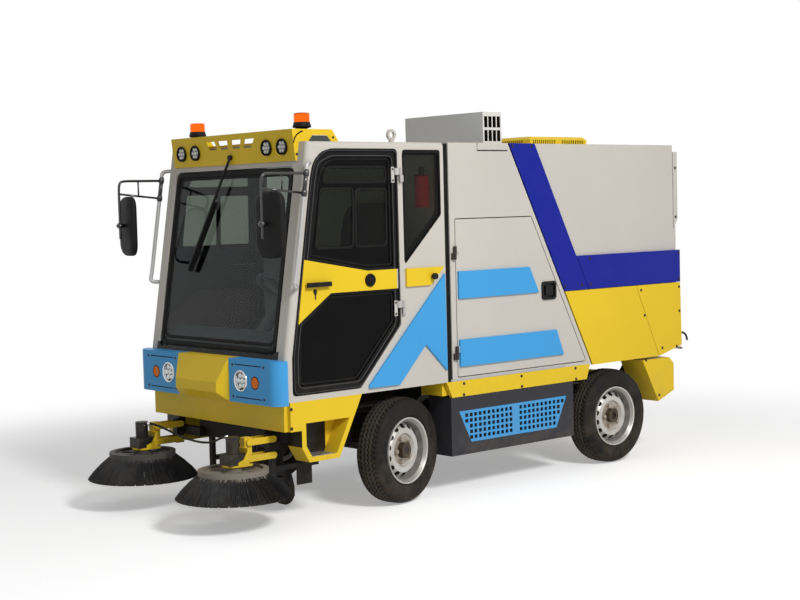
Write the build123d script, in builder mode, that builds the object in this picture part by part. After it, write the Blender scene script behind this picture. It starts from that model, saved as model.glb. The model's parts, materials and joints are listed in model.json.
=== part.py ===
from build123d import *
import math
import os

# Suction sweeper in millimetres, X forward, Y left, Z up, ground at Z = 0
half_width = 680
wall = 40
sill_z = 680
roof_z = 2105
cab_rear_x = 280
cab_front_x = 1483
screen_foot_z = 912.6
screen_slope = 0.1617
bay_front_x = 240
seam_top_x = -264
seam_slope = 0.5145
seam_gap = 13
hopper_rear_x = -1885
panel_depth = 20
hopper_half = half_width - panel_depth
hopper_wall = 30
hopper_floor_z = 690
tyre_radius = 311
tyre_width = 166
rim_radius = 178
front_axle_x = 627
rear_axle_x = -1233
wheel_y = 598
kingpin_y = 553
steer_rest = 12
rail_y = 300
rail_width = 60
rail_low_z = 400
rail_top_z = 500
rail_rear_x = -1795
tip_pin = (-1895, 655)
gate_pin = (-1906, 2086)
ram_foot = (-860, 450)
ram_eye = (-1600, 630)
ram_y = 180
ram_stroke = 139
brush_lead = 216
brush_x = cab_front_x + brush_lead
brush_y = 466
brush_radius = 321
ring_radius = 194
brush_tip_z = 175
ring_z = 315
link_length = 165
link_front_x = brush_x - 89
link_rear_x = link_front_x - link_length
rail_front_x = link_rear_x - 65
link_low_z = 375
link_top_z = 465
door_pin = (628, half_width + 15)
bay_pin = (212, half_width + 15)
gap = 6

door_brow = (cab_front_x - 235, 2066)
brow_radius = 170
door_hole = ((cab_front_x - 43, 712), (955, 712), (640, 1051), (640, 2066), door_brow, (cab_front_x - 46, 921))
door_round = {"corner": 24, "brow": door_brow, "brow_radius": brow_radius}
bay_hole = ((200, 700), (200, 1655), (-462, 1655), (-953, 700))
quarter_hole = ((604, 2050), (313, 2050), (306, 1681), (604, 1394))

os.makedirs("parts", exist_ok=True)


def side_plane(y):
    return Plane(origin=(0, y, 0), x_dir=(1, 0, 0), z_dir=(0, -1, 0))


def front_plane(x):
    return Plane(origin=(x, 0, 0), x_dir=(0, 1, 0), z_dir=(1, 0, 0))


def floor_plane(z):
    return Plane.XY.offset(z)


def outline(points, inset=0, corner=0, brow=None, brow_radius=0):
    with BuildLine() as line:
        Polyline(*points, close=True)
    make_face(line.edges())
    if brow:
        fillet(vertices().sort_by_distance(brow)[0], brow_radius)
    if corner:
        sharp = [v for v in vertices() if any(math.dist((v.X, v.Y), p) < 0.01 for p in points)]
        fillet(sharp, corner)
    if inset:
        offset(amount=-inset, kind=Kind.INTERSECTION, mode=Mode.REPLACE)


def slab(points, y_out, y_in, mode=Mode.ADD, **edges):
    with BuildSketch(side_plane(y_out)) as shape:
        outline(points, **edges)
    extrude(shape.sketch, amount=y_out - y_in, mode=mode)


def block(x_low, x_high, y_low, y_high, z_low, z_high, mode=Mode.ADD):
    with Locations(((x_low + x_high) / 2, (y_low + y_high) / 2, (z_low + z_high) / 2)):
        Box(x_high - x_low, y_high - y_low, z_high - z_low, mode=mode)


def rod(start, end, radius, mode=Mode.ADD):
    a = Vector(*start)
    b = Vector(*end)
    with BuildSketch(Plane(origin=a, z_dir=b - a)) as shape:
        Circle(radius)
    extrude(shape.sketch, amount=(b - a).length, mode=mode)


def tube(points, radius, bend):
    with BuildLine() as path:
        FilletPolyline(*points, radius=bend)
    with BuildSketch(Plane(origin=path.line @ 0, z_dir=path.line % 0)) as shape:
        Circle(radius)
    sweep(shape.sketch, path.wires()[0])


def save(builder, name):
    builder.part.label = name
    export_step(builder.part, "parts/" + name + ".step")


def screen_x(z):
    return cab_front_x - screen_slope * (z - screen_foot_z)


def seam_x(z):
    return seam_top_x - seam_slope * (roof_z - z)


# Frame with outriggers and the hopper lugs
outrigger_x = (1280, 262, -700)
cross_x = (rail_front_x - 30, 60, -330, -800, -1640)
with BuildPart() as frame_rails:
    for side in (1, -1):
        block(rail_rear_x, rail_front_x, side * rail_y - rail_width / 2, side * rail_y + rail_width / 2,
              rail_low_z, rail_top_z)
    for x in cross_x:
        block(x - 30, x + 30, -rail_y, rail_y, rail_low_z, rail_top_z)
    for x in outrigger_x:
        for side in (1, -1):
            with BuildSketch(front_plane(x - 37)):
                outline([(side * y, z) for y, z in ((272, rail_top_z - 5), (330, rail_top_z - 5), (470, 596),
                                                    (half_width - 35, 596), (half_width - 35, sill_z),
                                                    (272, sill_z))])
            extrude(amount=74)
    block(-330, -270, rail_y, half_width - 198, 420, 490)
    block(-330, -270, 198 - half_width, -rail_y, 420, 490)
    for side in (1, -1):
        y_out = side * rail_y + 20
        slab(((-1790, 490), (-1690, 490), (-1862, 672), (-1880, 686), (-1910, 686), (-1925, 672),
              (-1925, 640), (-1800, 530), (-1790, 526)), y_out, y_out - 40)
        rod((tip_pin[0], side * 320, tip_pin[1]), (tip_pin[0], side * 372, tip_pin[1]), 14)
        for y in (side * ram_y - 34, side * ram_y + 22):
            block(ram_foot[0] - 22, ram_foot[0] + 32, y, y + 12, ram_foot[1] - 24, ram_foot[1] + 24)
        rod((ram_foot[0], side * ram_y - 30, ram_foot[1]), (ram_foot[0], side * ram_y + 30, ram_foot[1]), 10)
save(frame_rails, "frame_rails")

# Cab floor and rear wall
with BuildPart() as cab_floor:
    slab(((cab_rear_x, sill_z), (cab_front_x - wall, sill_z), (cab_front_x - wall, sill_z + wall),
          (cab_rear_x + wall, sill_z + wall), (cab_rear_x + wall, roof_z - wall), (cab_rear_x, roof_z - wall)),
         half_width - wall, wall - half_width)
save(cab_floor, "cab_floor")

# Cab sides with the door and quarter window openings
cab_side_line = ((cab_rear_x, sill_z), (cab_front_x, sill_z), (cab_front_x, screen_foot_z),
                 (screen_x(roof_z), roof_z), (cab_rear_x, roof_z))
hinge_z = (1915, 1150)
plate_depth = 14
arrow_line = ((296, 1331), (900, 723), (900, 706), (670, 706), (461, 922), (293, 754))
knob_line = ((600, 1374), (301, 1374), (409, 1269), (600, 1269))
for side, sign in (("left", 1), ("right", -1)):
    with BuildPart() as cab_side:
        slab(cab_side_line, half_width, half_width - wall)
        rim_edges = cab_side.edges().group_by(Axis.Y)[-1]
        fillet(rim_edges.sort_by(Axis.Z)[-1:] + rim_edges.sort_by(Axis.X)[-2:], 24)
        slab(door_hole, half_width + 1, half_width - wall - 1, Mode.SUBTRACT, **door_round)
        slab(quarter_hole, half_width + 1, half_width - wall - 1, Mode.SUBTRACT, corner=14)
        slab(arrow_line, half_width + plate_depth, half_width - 1)
        slab(knob_line, half_width + plate_depth, half_width - 1)
        rod((398, half_width, 1321), (398, half_width + 40, 1321), 11)
        rod((398, half_width + 28, 1321), (398, half_width + 44, 1321), 19)
        for z in hinge_z:
            block(door_pin[0] - 22, door_pin[0], half_width - 2, door_pin[1] - 2, z - 40, z - 1)
            rod((door_pin[0], door_pin[1], z - 40), (door_pin[0], door_pin[1], z - 1), 9)
            rod((door_pin[0], door_pin[1], z - 2), (door_pin[0], door_pin[1], z + 39), 4)
        if sign < 0:
            mirror(about=Plane.XZ, mode=Mode.REPLACE)
    save(cab_side, "cab_side_" + side)

# Cab front with the windscreen opening
screen_half = half_width - 90
with BuildPart() as cab_front:
    slab(((cab_front_x, sill_z), (cab_front_x, screen_foot_z), (screen_x(roof_z), roof_z),
          (screen_x(roof_z) - wall, roof_z), (cab_front_x - wall, screen_foot_z), (cab_front_x - wall, sill_z)),
         half_width - wall, wall - half_width)
    with BuildSketch(front_plane(cab_front_x + 117)):
        with Locations((0, 1450)):
            RectangleRounded(2 * screen_half, 1044, 40)
    extrude(amount=-500, mode=Mode.SUBTRACT)
save(cab_front, "cab_front")

eye_x = 420
eye_y = 380
eye_radius = 18
with BuildPart() as cab_roof:
    slab(((cab_rear_x, roof_z - wall), (screen_x(roof_z - wall) - wall, roof_z - wall),
          (screen_x(roof_z) - wall, roof_z), (cab_rear_x, roof_z)), half_width - wall, wall - half_width)
    for y in (-eye_y, eye_y):
        rod((eye_x, y, roof_z - 1), (eye_x, y, roof_z + 8), 28)
        rod((eye_x, y, roof_z), (eye_x, y, roof_z + 40), 16)
        rod((eye_x, y - 7, roof_z + 58), (eye_x, y + 7, roof_z + 58), 34)
        rod((eye_x, y - 20, roof_z + 58), (eye_x, y + 20, roof_z + 58), eye_radius, Mode.SUBTRACT)
save(cab_roof, "cab_roof")

# Windscreen and quarter panes
with BuildPart() as cab_glass:
    slab(((screen_x(900) - 10, 900), (screen_x(2000) - 10, 2000), (screen_x(2000) - 16, 2000),
          (screen_x(900) - 16, 900)), screen_half + 10, -screen_half - 10)
    with BuildSketch(front_plane(cab_front_x + 117)):
        with Locations((0, 1450)):
            RectangleRounded(2 * screen_half - 1, 1043, 39.5)
    extrude(amount=-500, mode=Mode.INTERSECT)
    slab(quarter_hole, half_width - 12, half_width - 18, corner=14, inset=0.5)
    with BuildSketch(side_plane(18 - half_width)):
        outline(quarter_hole, corner=14, inset=0.5)
    extrude(amount=6)
save(cab_glass, "cab_glass")

# Rubber seal between cab and engine bay
with BuildPart() as cab_seal:
    block(bay_front_x, cab_rear_x, 8 - half_width, half_width - 8, sill_z + 4, roof_z - 8)
    block(bay_front_x, cab_rear_x, wall - half_width, half_width - wall, sill_z, roof_z - wall + 1, Mode.SUBTRACT)
save(cab_seal, "cab_seal")

# Blue lamp band, both sides of the nose
lamp_y = 367
lamp_z = 790
lamp_radius = 61
turn_y = 502
turn_z = 787
turn_radius = 37
band_x = cab_front_x + 79
band_half = half_width + 20
nose_half = 253
with BuildPart() as front_band:
    with BuildSketch(floor_plane(668)):
        with Locations(((cab_front_x + band_x) / 2, (nose_half + 2 + band_half) / 2)):
            Rectangle(band_x - cab_front_x, band_half - nose_half - 2)
    extrude(amount=244)
    corner = front_band.edges().filter_by(Axis.Z).sort_by(lambda e: e.center().X + e.center().Y)[-1]
    fillet(corner, 70)
    for y, z, r in ((lamp_y, lamp_z, lamp_radius), (turn_y, turn_z, turn_radius)):
        rod((band_x - 52, y, z), (band_x + 38, y, z), r + 0.3, Mode.SUBTRACT)
    mirror(about=Plane.XZ)
save(front_band, "front_band")

# Yellow nose and apron
with BuildPart() as front_panel:
    block(cab_front_x, band_x, -nose_half, nose_half, 668, 912)
    with BuildSketch(front_plane(band_x)):
        with Locations((0, 790)):
            Rectangle(2 * nose_half, 244)
    with BuildSketch(front_plane(band_x + 56)):
        with Locations((0, 746)):
            Rectangle(410, 56)
    loft()
    block(cab_front_x - 24, cab_front_x, 27 - half_width, half_width - 27, 519, sill_z)
save(front_panel, "front_panel")

# Side steps with an open pocket
step_line = ((cab_front_x - 24, sill_z), (949, sill_z), (1122, 338), (1335, 338), (1384, 420), (1384, 519),
             (cab_front_x - 24, 519))
step_box = ((1384, 592), (1000, 592), (1122, 338), (1335, 338), (1384, 420))
step_hole = ((1354, 557), (1044, 557), (1142, 366), (1316, 366), (1354, 430))
with BuildPart() as side_steps:
    slab(step_line, half_width, half_width - 30)
    slab(step_box, half_width, half_width - 128)
    slab(step_hole, half_width + 1, half_width - 118, Mode.SUBTRACT)
    mirror(about=Plane.XZ)
save(side_steps, "side_steps")

# Light bar
bar_half = half_width - 75
bar_lamps = (-502, -357, 357, 502)
bar_lamp_z = 2081


def bar_x(z):
    return cab_front_x - 167 + (z - 2000) * 20 / 175


with BuildPart() as light_bar:
    slab(((bar_x(2000), 2000), (bar_x(2175), 2175), (bar_x(2175) - 40, 2175), (bar_x(2175) - 40, 2171),
          (bar_x(2171) - 5, 2171), (bar_x(2000) - 5, 2000)), bar_half, -bar_half)
    for y in (bar_half, 4 - bar_half):
        slab(((bar_x(2000), 2000), (bar_x(2175), 2175), (cab_front_x - 428, 2175), (cab_front_x - 478, roof_z),
              (screen_x(roof_z), roof_z),
              (screen_x(2000), 2000)), y, y - 4)
    for y in bar_lamps:
        rod((cab_front_x - 203, y, bar_lamp_z), (cab_front_x - 83, y, bar_lamp_z), 45.3, Mode.SUBTRACT)
    rod((cab_front_x - 203, 0, 2039), (cab_front_x - 83, 0, 2039), 8.3, Mode.SUBTRACT)
    for y in (-183, -63, 63, 183):
        lean = y * 0.16
        with BuildSketch(front_plane(cab_front_x - 83)):
            outline(((y - 38 - lean / 2, 2090), (y + 38 - lean / 2, 2090), (y + 46 + lean / 2, 2140),
                     (y - 46 + lean / 2, 2140)))
        extrude(amount=-200, mode=Mode.SUBTRACT)
    slab(((cab_front_x - 258, roof_z - 1), (cab_front_x - 288, 2142), (cab_front_x - 393, 2142),
          (cab_front_x - 423, roof_z - 1)), half_width, -half_width, Mode.SUBTRACT)
    with BuildSketch(side_plane(half_width)) as curl:
        SlotArc(CenterArc((cab_front_x - 235, 2095), 64, 5, 80), 9)
    extrude(curl.sketch, amount=2 * half_width, mode=Mode.SUBTRACT)
save(light_bar, "light_bar")

beacon_x = cab_front_x - 284
beacon_y = bar_half - 86
with BuildPart() as lamps:
    for y in bar_lamps:
        rod((cab_front_x - 179, y, bar_lamp_z), (cab_front_x - 143, y, bar_lamp_z), 45)
    for sign in (1, -1):
        rod((band_x - 52, sign * lamp_y, lamp_z), (band_x + 6, sign * lamp_y, lamp_z), lamp_radius)
        rod((band_x - 52, sign * turn_y, turn_z), (band_x + 5, sign * turn_y, turn_z), turn_radius)
        rod((beacon_x, sign * beacon_y, roof_z), (beacon_x, sign * beacon_y, roof_z + 82), 26)
        rod((beacon_x, sign * beacon_y, roof_z + 80), (beacon_x, sign * beacon_y, roof_z + 110), 52)
        rod((beacon_x, sign * beacon_y, roof_z + 110), (beacon_x, sign * beacon_y, roof_z + 165), 45.5)
        block(-1862, -1846, sign * (half_width - 100) - 70, sign * (half_width - 100) + 70, 500, 580)
save(lamps, "lamps")

# Wiper on the light bar
screen_plane = Plane(origin=(bar_x(2039) + 4, 0, 2039), x_dir=(0, 1, 0), z_dir=(1, 0, screen_slope))
with BuildPart() as wiper:
    rod((bar_x(2039) - 14, 0, 2039), (bar_x(2039) + 16, 0, 2039), 8)
    rod((bar_x(2039) + 3, 0, 2039), (bar_x(2039) + 18, 0, 2039), 16)
    with BuildSketch(screen_plane):
        outline(((9, 5), (-9, -5), (-318, -652), (-306, -658)))
    extrude(amount=10)
    with BuildSketch(screen_plane):
        outline(((-112, -257), (-124, -251), (-320, -661), (-308, -667)))
    extrude(amount=-24)
save(wiper, "wiper")

# Mirrors with grab handles and arms
mirror_x = cab_front_x + 158
mirror_y = half_width + 45


def grab_x(z):
    return screen_x(z) + 20


with BuildPart() as mirrors:
    tube(((grab_x(1985) - 47, half_width + 10, 1985), (grab_x(1985), mirror_y, 1985), (grab_x(1310), mirror_y, 1310),
          (grab_x(1310) - 47, half_width + 10, 1310)), 12, 30)
    for z in (1985, 1310):
        rod((grab_x(z) - 47, half_width, z), (grab_x(z) - 47, half_width + 14, z), 12)
    tube(((grab_x(1928), mirror_y, 1928), (mirror_x, mirror_y, 1928), (mirror_x, mirror_y, 1580)), 9, 50)
    rod((grab_x(1820), mirror_y, 1820), (mirror_x, mirror_y, 1850), 9)
    rod((grab_x(1948), mirror_y, 1948), (grab_x(1800), mirror_y, 1800), 16)
    rod((mirror_x, mirror_y, 1660), (mirror_x - 51, mirror_y, 1660), 12)
    with BuildSketch(Plane(origin=(mirror_x - 29, mirror_y, 1655), x_dir=(-0.15, 0.989, 0), z_dir=(-0.989, -0.15, 0))):
        RectangleRounded(206, 358, 30)
    extrude(amount=40)
    mirror(about=Plane.XZ)
save(mirrors, "mirrors")

# Cab inside
with BuildPart() as driver_seat:
    block(560, 900, 0, 460, sill_z + wall, 1000)
    block(520, 960, -10, 470, 1000, 1120)
    slab(((600, 1110), (520, 1110), (430, 1760), (510, 1760)), 460, 0)
save(driver_seat, "driver_seat")
dash_x = cab_front_x - wall
dash_line = ((dash_x, 720), (dash_x, 900), (dash_x - 23, 1010), (dash_x - 113, 1050), (dash_x - 223, 1010),
             (dash_x - 183, 720))
column_top = (dash_x - 313, 230, 1250)
wheel_plane = Plane(origin=column_top, z_dir=(-140, 0, 210))
with BuildPart() as dashboard:
    slab(dash_line, half_width - 80, 80 - half_width)
    rod((dash_x - 153, 230, 1010), column_top, 22)
    with BuildSketch(wheel_plane):
        Circle(190)
        Circle(166, mode=Mode.SUBTRACT)
    extrude(amount=22)
    with BuildSketch(wheel_plane):
        Rectangle(340, 34)
        Circle(40)
    extrude(amount=18)
save(dashboard, "dashboard")
bottle_y = half_width - 90
with BuildPart() as extinguisher:
    rod((cab_rear_x + wall, bottle_y, 1840), (cab_rear_x + wall + 20, bottle_y, 1840), 14)
    rod((cab_rear_x + wall + 56, bottle_y, 1725), (cab_rear_x + wall + 56, bottle_y, 1920), 42)
    rod((cab_rear_x + wall + 56, bottle_y, 1915), (cab_rear_x + wall + 56, bottle_y, 1965), 16)
save(extinguisher, "extinguisher")

# Engine bay with both access openings
with BuildPart() as bay_shell:
    slab(((bay_front_x, sill_z), (bay_front_x, roof_z), (seam_x(roof_z), roof_z), (seam_x(sill_z), sill_z)),
         half_width, -half_width)
    slab(((bay_front_x - 20, sill_z - 1), (bay_front_x - 20, roof_z - wall), (seam_x(roof_z - wall) + 24, roof_z - wall),
          (seam_x(sill_z - 1) + 24, sill_z - 1)), half_width - wall, wall - half_width, Mode.SUBTRACT)
    slab(bay_hole, half_width + 1, half_width - wall - 1, Mode.SUBTRACT, corner=14)
    slab(bay_hole, wall + 1 - half_width, -half_width - 1, Mode.SUBTRACT, corner=14)
    for sign in (1, -1):
        block(-260, 0, sign * (half_width + 3) - 5, sign * (half_width + 3) + 5, roof_z - 42, roof_z)
    for sign in (1, -1):
        for z in (1450, 850):
            block(bay_pin[0], bay_pin[0] + 22, sign * (half_width + 6) - 8, sign * (half_width + 6) + 8, z - 40, z - 1)
            rod((bay_pin[0], sign * bay_pin[1], z - 40), (bay_pin[0], sign * bay_pin[1], z - 1), 9)
            rod((bay_pin[0], sign * bay_pin[1], z - 2), (bay_pin[0], sign * bay_pin[1], z + 39), 4)
save(bay_shell, "bay_shell")
with BuildPart() as engine_block:
    block(-440, 120, -290, 50, rail_top_z, 1150)
save(engine_block, "engine_block")
with BuildPart() as roof_duct:
    block(-255, -95, -70, half_width - 40, roof_z, 2296)
    for x in (-229, -193, -157, -121):
        for z in (2152, 2236):
            block(x - 14, x + 14, half_width - 120, half_width - 39, z - 34, z + 34, Mode.SUBTRACT)
save(roof_duct, "roof_duct")

# Skirts, boxes and perforated panels under the bay
skirt_line = ((290, sill_z), (247, 584), (-952, 584), (-986, sill_z))
mesh_line = ((193, 496), (-758, 496), (-660, 300), (95, 300))
with BuildPart() as side_skirts:
    slab(skirt_line, half_width, half_width - 24)
    mirror(about=Plane.XZ)
save(side_skirts, "side_skirts")
with BuildPart() as skirt_boxes:
    block(-820, 258, half_width - 198, half_width - 2, 230, 584)
    slab(mesh_line, half_width - 1, half_width - 80, Mode.SUBTRACT)
    mirror(about=Plane.XZ)
save(skirt_boxes, "skirt_boxes")
mesh_pitch = 38
with BuildPart() as mesh_panels:
    slab(mesh_line, half_width - 4, half_width - 10, inset=0.3)
    for start in (-250, -642):
        for i in range(9):
            for j in range(5):
                x = start + mesh_pitch * i
                z = 330 + mesh_pitch * 0.9 * j
                block(x - 12, x + 12, half_width - 20, half_width + 10, z - 11, z + 11, Mode.SUBTRACT)
    mirror(about=Plane.XZ)
save(mesh_panels, "mesh_panels")

# Rear bumper
tow_x = -1882
tow_radius = 16
bumper_line = ((-1516, 655), (-1799, 655), (-1846, 610), (-1846, 426), (-1678, 363))
with BuildPart() as rear_bumper:
    slab(bumper_line, half_width, half_width - 200)
    slab(bumper_line, 200 - half_width, -half_width)
    block(-1846, rail_rear_x, 180 - half_width, half_width - 180, 420, 520)
    block(-1910, -1840, -40, 40, 446, 466)
    rod((tow_x, 0, 440), (tow_x, 0, 470), tow_radius, Mode.SUBTRACT)
save(rear_bumper, "rear_bumper")

# Front axle with springs, rear axle with springs
with BuildPart() as front_axle:
    block(front_axle_x - 30, front_axle_x + 30, -530, 530, 284, 338)
    for sign in (1, -1):
        with Locations((front_axle_x, sign * kingpin_y, tyre_radius)):
            Cylinder(30, 80)
        rod((front_axle_x, sign * kingpin_y, 200), (front_axle_x, sign * kingpin_y, 420), 15, Mode.SUBTRACT)
        slab(((front_axle_x + 360, 392), (front_axle_x + 360, 400), (front_axle_x - 360, 400),
              (front_axle_x - 360, 392), (front_axle_x - 80, 338), (front_axle_x + 80, 338)),
             sign * rail_y + 28, sign * rail_y - 28)
save(front_axle, "front_axle")
with BuildPart() as rear_axle:
    rod((rear_axle_x, -545, tyre_radius), (rear_axle_x, 545, tyre_radius), 42)
    rod((rear_axle_x, -650, tyre_radius), (rear_axle_x, 650, tyre_radius), 22)
    with Locations((rear_axle_x, 0, tyre_radius)):
        Sphere(120)
    for sign in (1, -1):
        slab(((rear_axle_x + 400, 392), (rear_axle_x + 400, 400), (rear_axle_x - 400, 400),
              (rear_axle_x - 400, 392), (rear_axle_x - 80, 340), (rear_axle_x + 80, 340)),
             sign * rail_y + 28, sign * rail_y - 28)
save(rear_axle, "rear_axle")

# Steering knuckles, tyres and rims
wheels = (("front_left", front_axle_x, 1, steer_rest), ("front_right", front_axle_x, -1, steer_rest),
          ("rear_left", rear_axle_x, 1, 0), ("rear_right", rear_axle_x, -1, 0))
tyre_line = ((190, -62), (232, -83), (284, -79), (tyre_radius, -60), (tyre_radius, 60), (284, 79), (232, 83),
             (190, 62), (rim_radius + 0.3, 62), (rim_radius + 0.3, -62))
for name, axle_x, sign, steer in wheels:
    turn = math.radians(steer)
    out = Vector(-math.sin(turn) * sign, math.cos(turn) * sign, 0)
    reach = (wheel_y - kingpin_y) if "front" in name else wheel_y
    root = Vector(axle_x, sign * kingpin_y if "front" in name else 0, tyre_radius)
    hub = Plane(origin=root + out * reach, x_dir=Vector(0, 0, 1), z_dir=Vector(0, 0, 1).cross(out))
    spin = Axis(hub.origin, hub.y_dir)
    with BuildPart() as tyre:
        with BuildSketch(hub):
            outline(tyre_line)
        revolve(axis=spin)
    save(tyre, "tyre_" + name)
    with BuildPart() as rim:
        with BuildSketch(hub):
            outline(((22.06, 8), (45, 8), (45, 22), (95, 22), (105, 38), (128, 38), (166, 4), (166, -70),
                     (rim_radius + 14, -76), (rim_radius + 14, -66), (rim_radius, -62), (rim_radius, 62),
                     (rim_radius + 16, 68), (rim_radius + 16, 78), (rim_radius + 10, 78), (170, 60), (166, 14), (130, 47),
                     (100, 47),
                     (90, 31), (45, 31), (45, 64), (22.06, 64)))
        revolve(axis=spin)
        with BuildSketch(Plane(origin=hub.origin + out * 90, x_dir=(0, 0, 1), z_dir=out)) as vents:
            with PolarLocations(147, 14):
                SlotOverall(36, 18, rotation=90)
        extrude(vents.sketch, amount=-110, mode=Mode.SUBTRACT)
        with BuildSketch(Plane(origin=hub.origin + out * 30, x_dir=(0, 0, 1), z_dir=out)) as lugs:
            with PolarLocations(70, 5, 18):
                RegularPolygon(13, 6)
        extrude(lugs.sketch, amount=22)
    save(rim, "rim_" + name)
    if "front" in name:
        with BuildPart() as knuckle:
            rod((axle_x, sign * kingpin_y, 245), (axle_x, sign * kingpin_y, 377), 14.94)
            for z in (356, 245):
                with Locations(Plane(origin=(axle_x, sign * kingpin_y, z), x_dir=out)):
                    with Locations((9, 0, 10.5)):
                        Box(74, 56, 21)
            with Locations(Plane(origin=root + out * 39, x_dir=out)):
                Box(14, 56, 132)
            rod(root + out * 40, root + out * 106, 22)
        save(knuckle, "knuckle_" + name[6:])

# Suction nozzle, its wheels and the hose
hose_y = 150
nozzle_x = 1220
nozzle_half = 235
hanger_x = nozzle_x + 94
with BuildPart() as suction_nozzle:
    slab(((nozzle_x - 110, 60), (nozzle_x + 110, 60), (nozzle_x + 110, 120), (nozzle_x + 82, 232),
          (nozzle_x - 82, 232), (nozzle_x - 110, 120)), nozzle_half, -nozzle_half)
    block(hanger_x - 14, hanger_x + 14, -rail_y - 15, rail_y + 15, 150, 190)
    for sign in (1, -1):
        block(nozzle_x - 20, nozzle_x + 20, sign * (nozzle_half + 12) - 12, sign * (nozzle_half + 12) + 12, 90, 190)
        rod((nozzle_x, sign * nozzle_half, 95), (nozzle_x, sign * (nozzle_half + 68), 95), 9)
        block(hanger_x - 14, hanger_x + 14, sign * rail_y - 15, sign * rail_y + 15, 150, rail_low_z)
        block(hanger_x - 325, hanger_x, sign * rail_y - 15, sign * rail_y + 15, 242, 270)
        block(hanger_x - 325, hanger_x - 295, sign * rail_y - 15, sign * rail_y + 15, 242, rail_low_z)
        block(hanger_x - 282, hanger_x - 174, sign * rail_y - 4, sign * rail_y + 4, 138, 250)
save(suction_nozzle, "suction_nozzle")
with BuildPart() as nozzle_wheels:
    for sign in (1, -1):
        rod((nozzle_x, sign * (nozzle_half + 31), 95), (nozzle_x, sign * (nozzle_half + 65), 95), 60)
        rod((nozzle_x, sign * (nozzle_half + 20), 95), (nozzle_x, sign * (nozzle_half + 80), 95), 9.06, Mode.SUBTRACT)
save(nozzle_wheels, "nozzle_wheels")
hose_radius = 78
hose_bend = 150
hose_z = 590
with BuildPart() as suction_hose:
    rod((nozzle_x, hose_y, 232), (nozzle_x, hose_y, hose_z - hose_bend), hose_radius)
    with BuildSketch(floor_plane(hose_z - hose_bend)):
        with Locations((nozzle_x, hose_y)):
            Circle(hose_radius)
    revolve(axis=Axis((nozzle_x - hose_bend, 0, hose_z - hose_bend), (0, -1, 0)), revolution_arc=90)
    rod((nozzle_x - hose_bend, hose_y, hose_z), (-400, hose_y, hose_z), hose_radius)
    with Locations((-400, hose_y, hose_z)):
        Sphere(hose_radius)
    rod((-400, hose_y, hose_z), (-400 - 0.889 * 430, hose_y, hose_z + 0.457 * 430), hose_radius)
save(suction_hose, "suction_hose")

# Brush arms, links, heads and brushes
with BuildPart() as brush_arms:
    block(rail_front_x, link_rear_x - 24, rail_y - 30, brush_y + 22, 400, 450)
    block(link_rear_x - 26, link_rear_x + 24, brush_y - 22, brush_y + 22, link_low_z - 26, link_top_z + 26)
    for z in (link_low_z, link_top_z):
        rod((link_rear_x, brush_y - 60, z), (link_rear_x, brush_y + 60, z), 9, Mode.SUBTRACT)
    mirror(about=Plane.XZ)
save(brush_arms, "brush_arms")
for name, z in (("upper_links", link_top_z), ("lower_links", link_low_z)):
    with BuildPart() as links:
        for y in (brush_y - 38, brush_y + 28):
            with BuildSketch(side_plane(y + 10)):
                with Locations(((link_rear_x + link_front_x) / 2, z)):
                    SlotCenterToCenter(link_length, 36)
            extrude(amount=10)
        for x in (link_rear_x, link_front_x):
            rod((x, brush_y - 38, z), (x, brush_y + 38, z), 8.94)
        mirror(about=Plane.XZ)
    save(links, name)
with BuildPart() as brush_heads:
    block(link_front_x - 24, link_front_x + 24, brush_y - 22, brush_y + 22, link_low_z - 26, link_top_z + 26)
    for z in (link_low_z, link_top_z):
        rod((link_front_x, brush_y - 60, z), (link_front_x, brush_y + 60, z), 9, Mode.SUBTRACT)
    block(link_front_x, brush_x, brush_y - 60, brush_y + 60, 340, 350)
    rod((brush_x, brush_y, 340), (brush_x, brush_y, 350), 60)
    for y in (brush_y - 60, brush_y + 54):
        slab(((brush_x + 6, 350), (brush_x + 6, 366), (brush_x - 30, 378), (link_front_x + 23, 438),
              (link_front_x + 23, 345), (brush_x, 345)), y + 6, y)
    block(link_front_x + 23, link_front_x + 33, brush_y - 60, brush_y + 60, 345, 438)
    block(brush_x - 53, brush_x + 53, brush_y - 53, brush_y + 53, 350, 410)
    rod((brush_x, brush_y, 410), (brush_x, brush_y, 503), 37)
    rod((brush_x, brush_y, 325), (brush_x, brush_y, 342), 20)
    mirror(about=Plane.XZ)
save(brush_heads, "brush_heads")
for name, sign in (("left", 1), ("right", -1)):
    with BuildPart() as brush:
        centre = Plane(origin=(brush_x, sign * brush_y, 0), x_dir=(1, 0, 0), z_dir=(0, -1, 0))
        with BuildSketch(centre):
            outline(((20.06, ring_z - 14), (ring_radius, ring_z - 14), (brush_radius, brush_tip_z),
                     (brush_radius - 60, brush_tip_z), (ring_radius - 50, ring_z - 34), (20.06, ring_z - 34)))
            outline(((20.06, ring_z - 15), (ring_radius, ring_z - 15), (ring_radius, ring_z + 14),
                     (ring_radius - 30, ring_z + 14), (ring_radius - 30, ring_z), (50, ring_z), (50, ring_z + 20),
                     (20.06, ring_z + 20)))
        revolve(axis=Axis(centre.origin, (0, 0, 1)))
        with BuildSketch(Plane(origin=(brush_x, sign * brush_y, ring_z - 40))) as windows:
            with PolarLocations(101, 6):
                RectangleRounded(78, 58, 12)
        extrude(windows.sketch, amount=60, mode=Mode.SUBTRACT)
        with BuildSketch(Plane(origin=(brush_x, sign * brush_y, brush_tip_z - 5))) as tufts:
            with PolarLocations(brush_radius - 62, 36):
                Rectangle(140, 7)
        extrude(tufts.sketch, amount=72, mode=Mode.SUBTRACT)
    save(brush, "brush_" + name)

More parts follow.
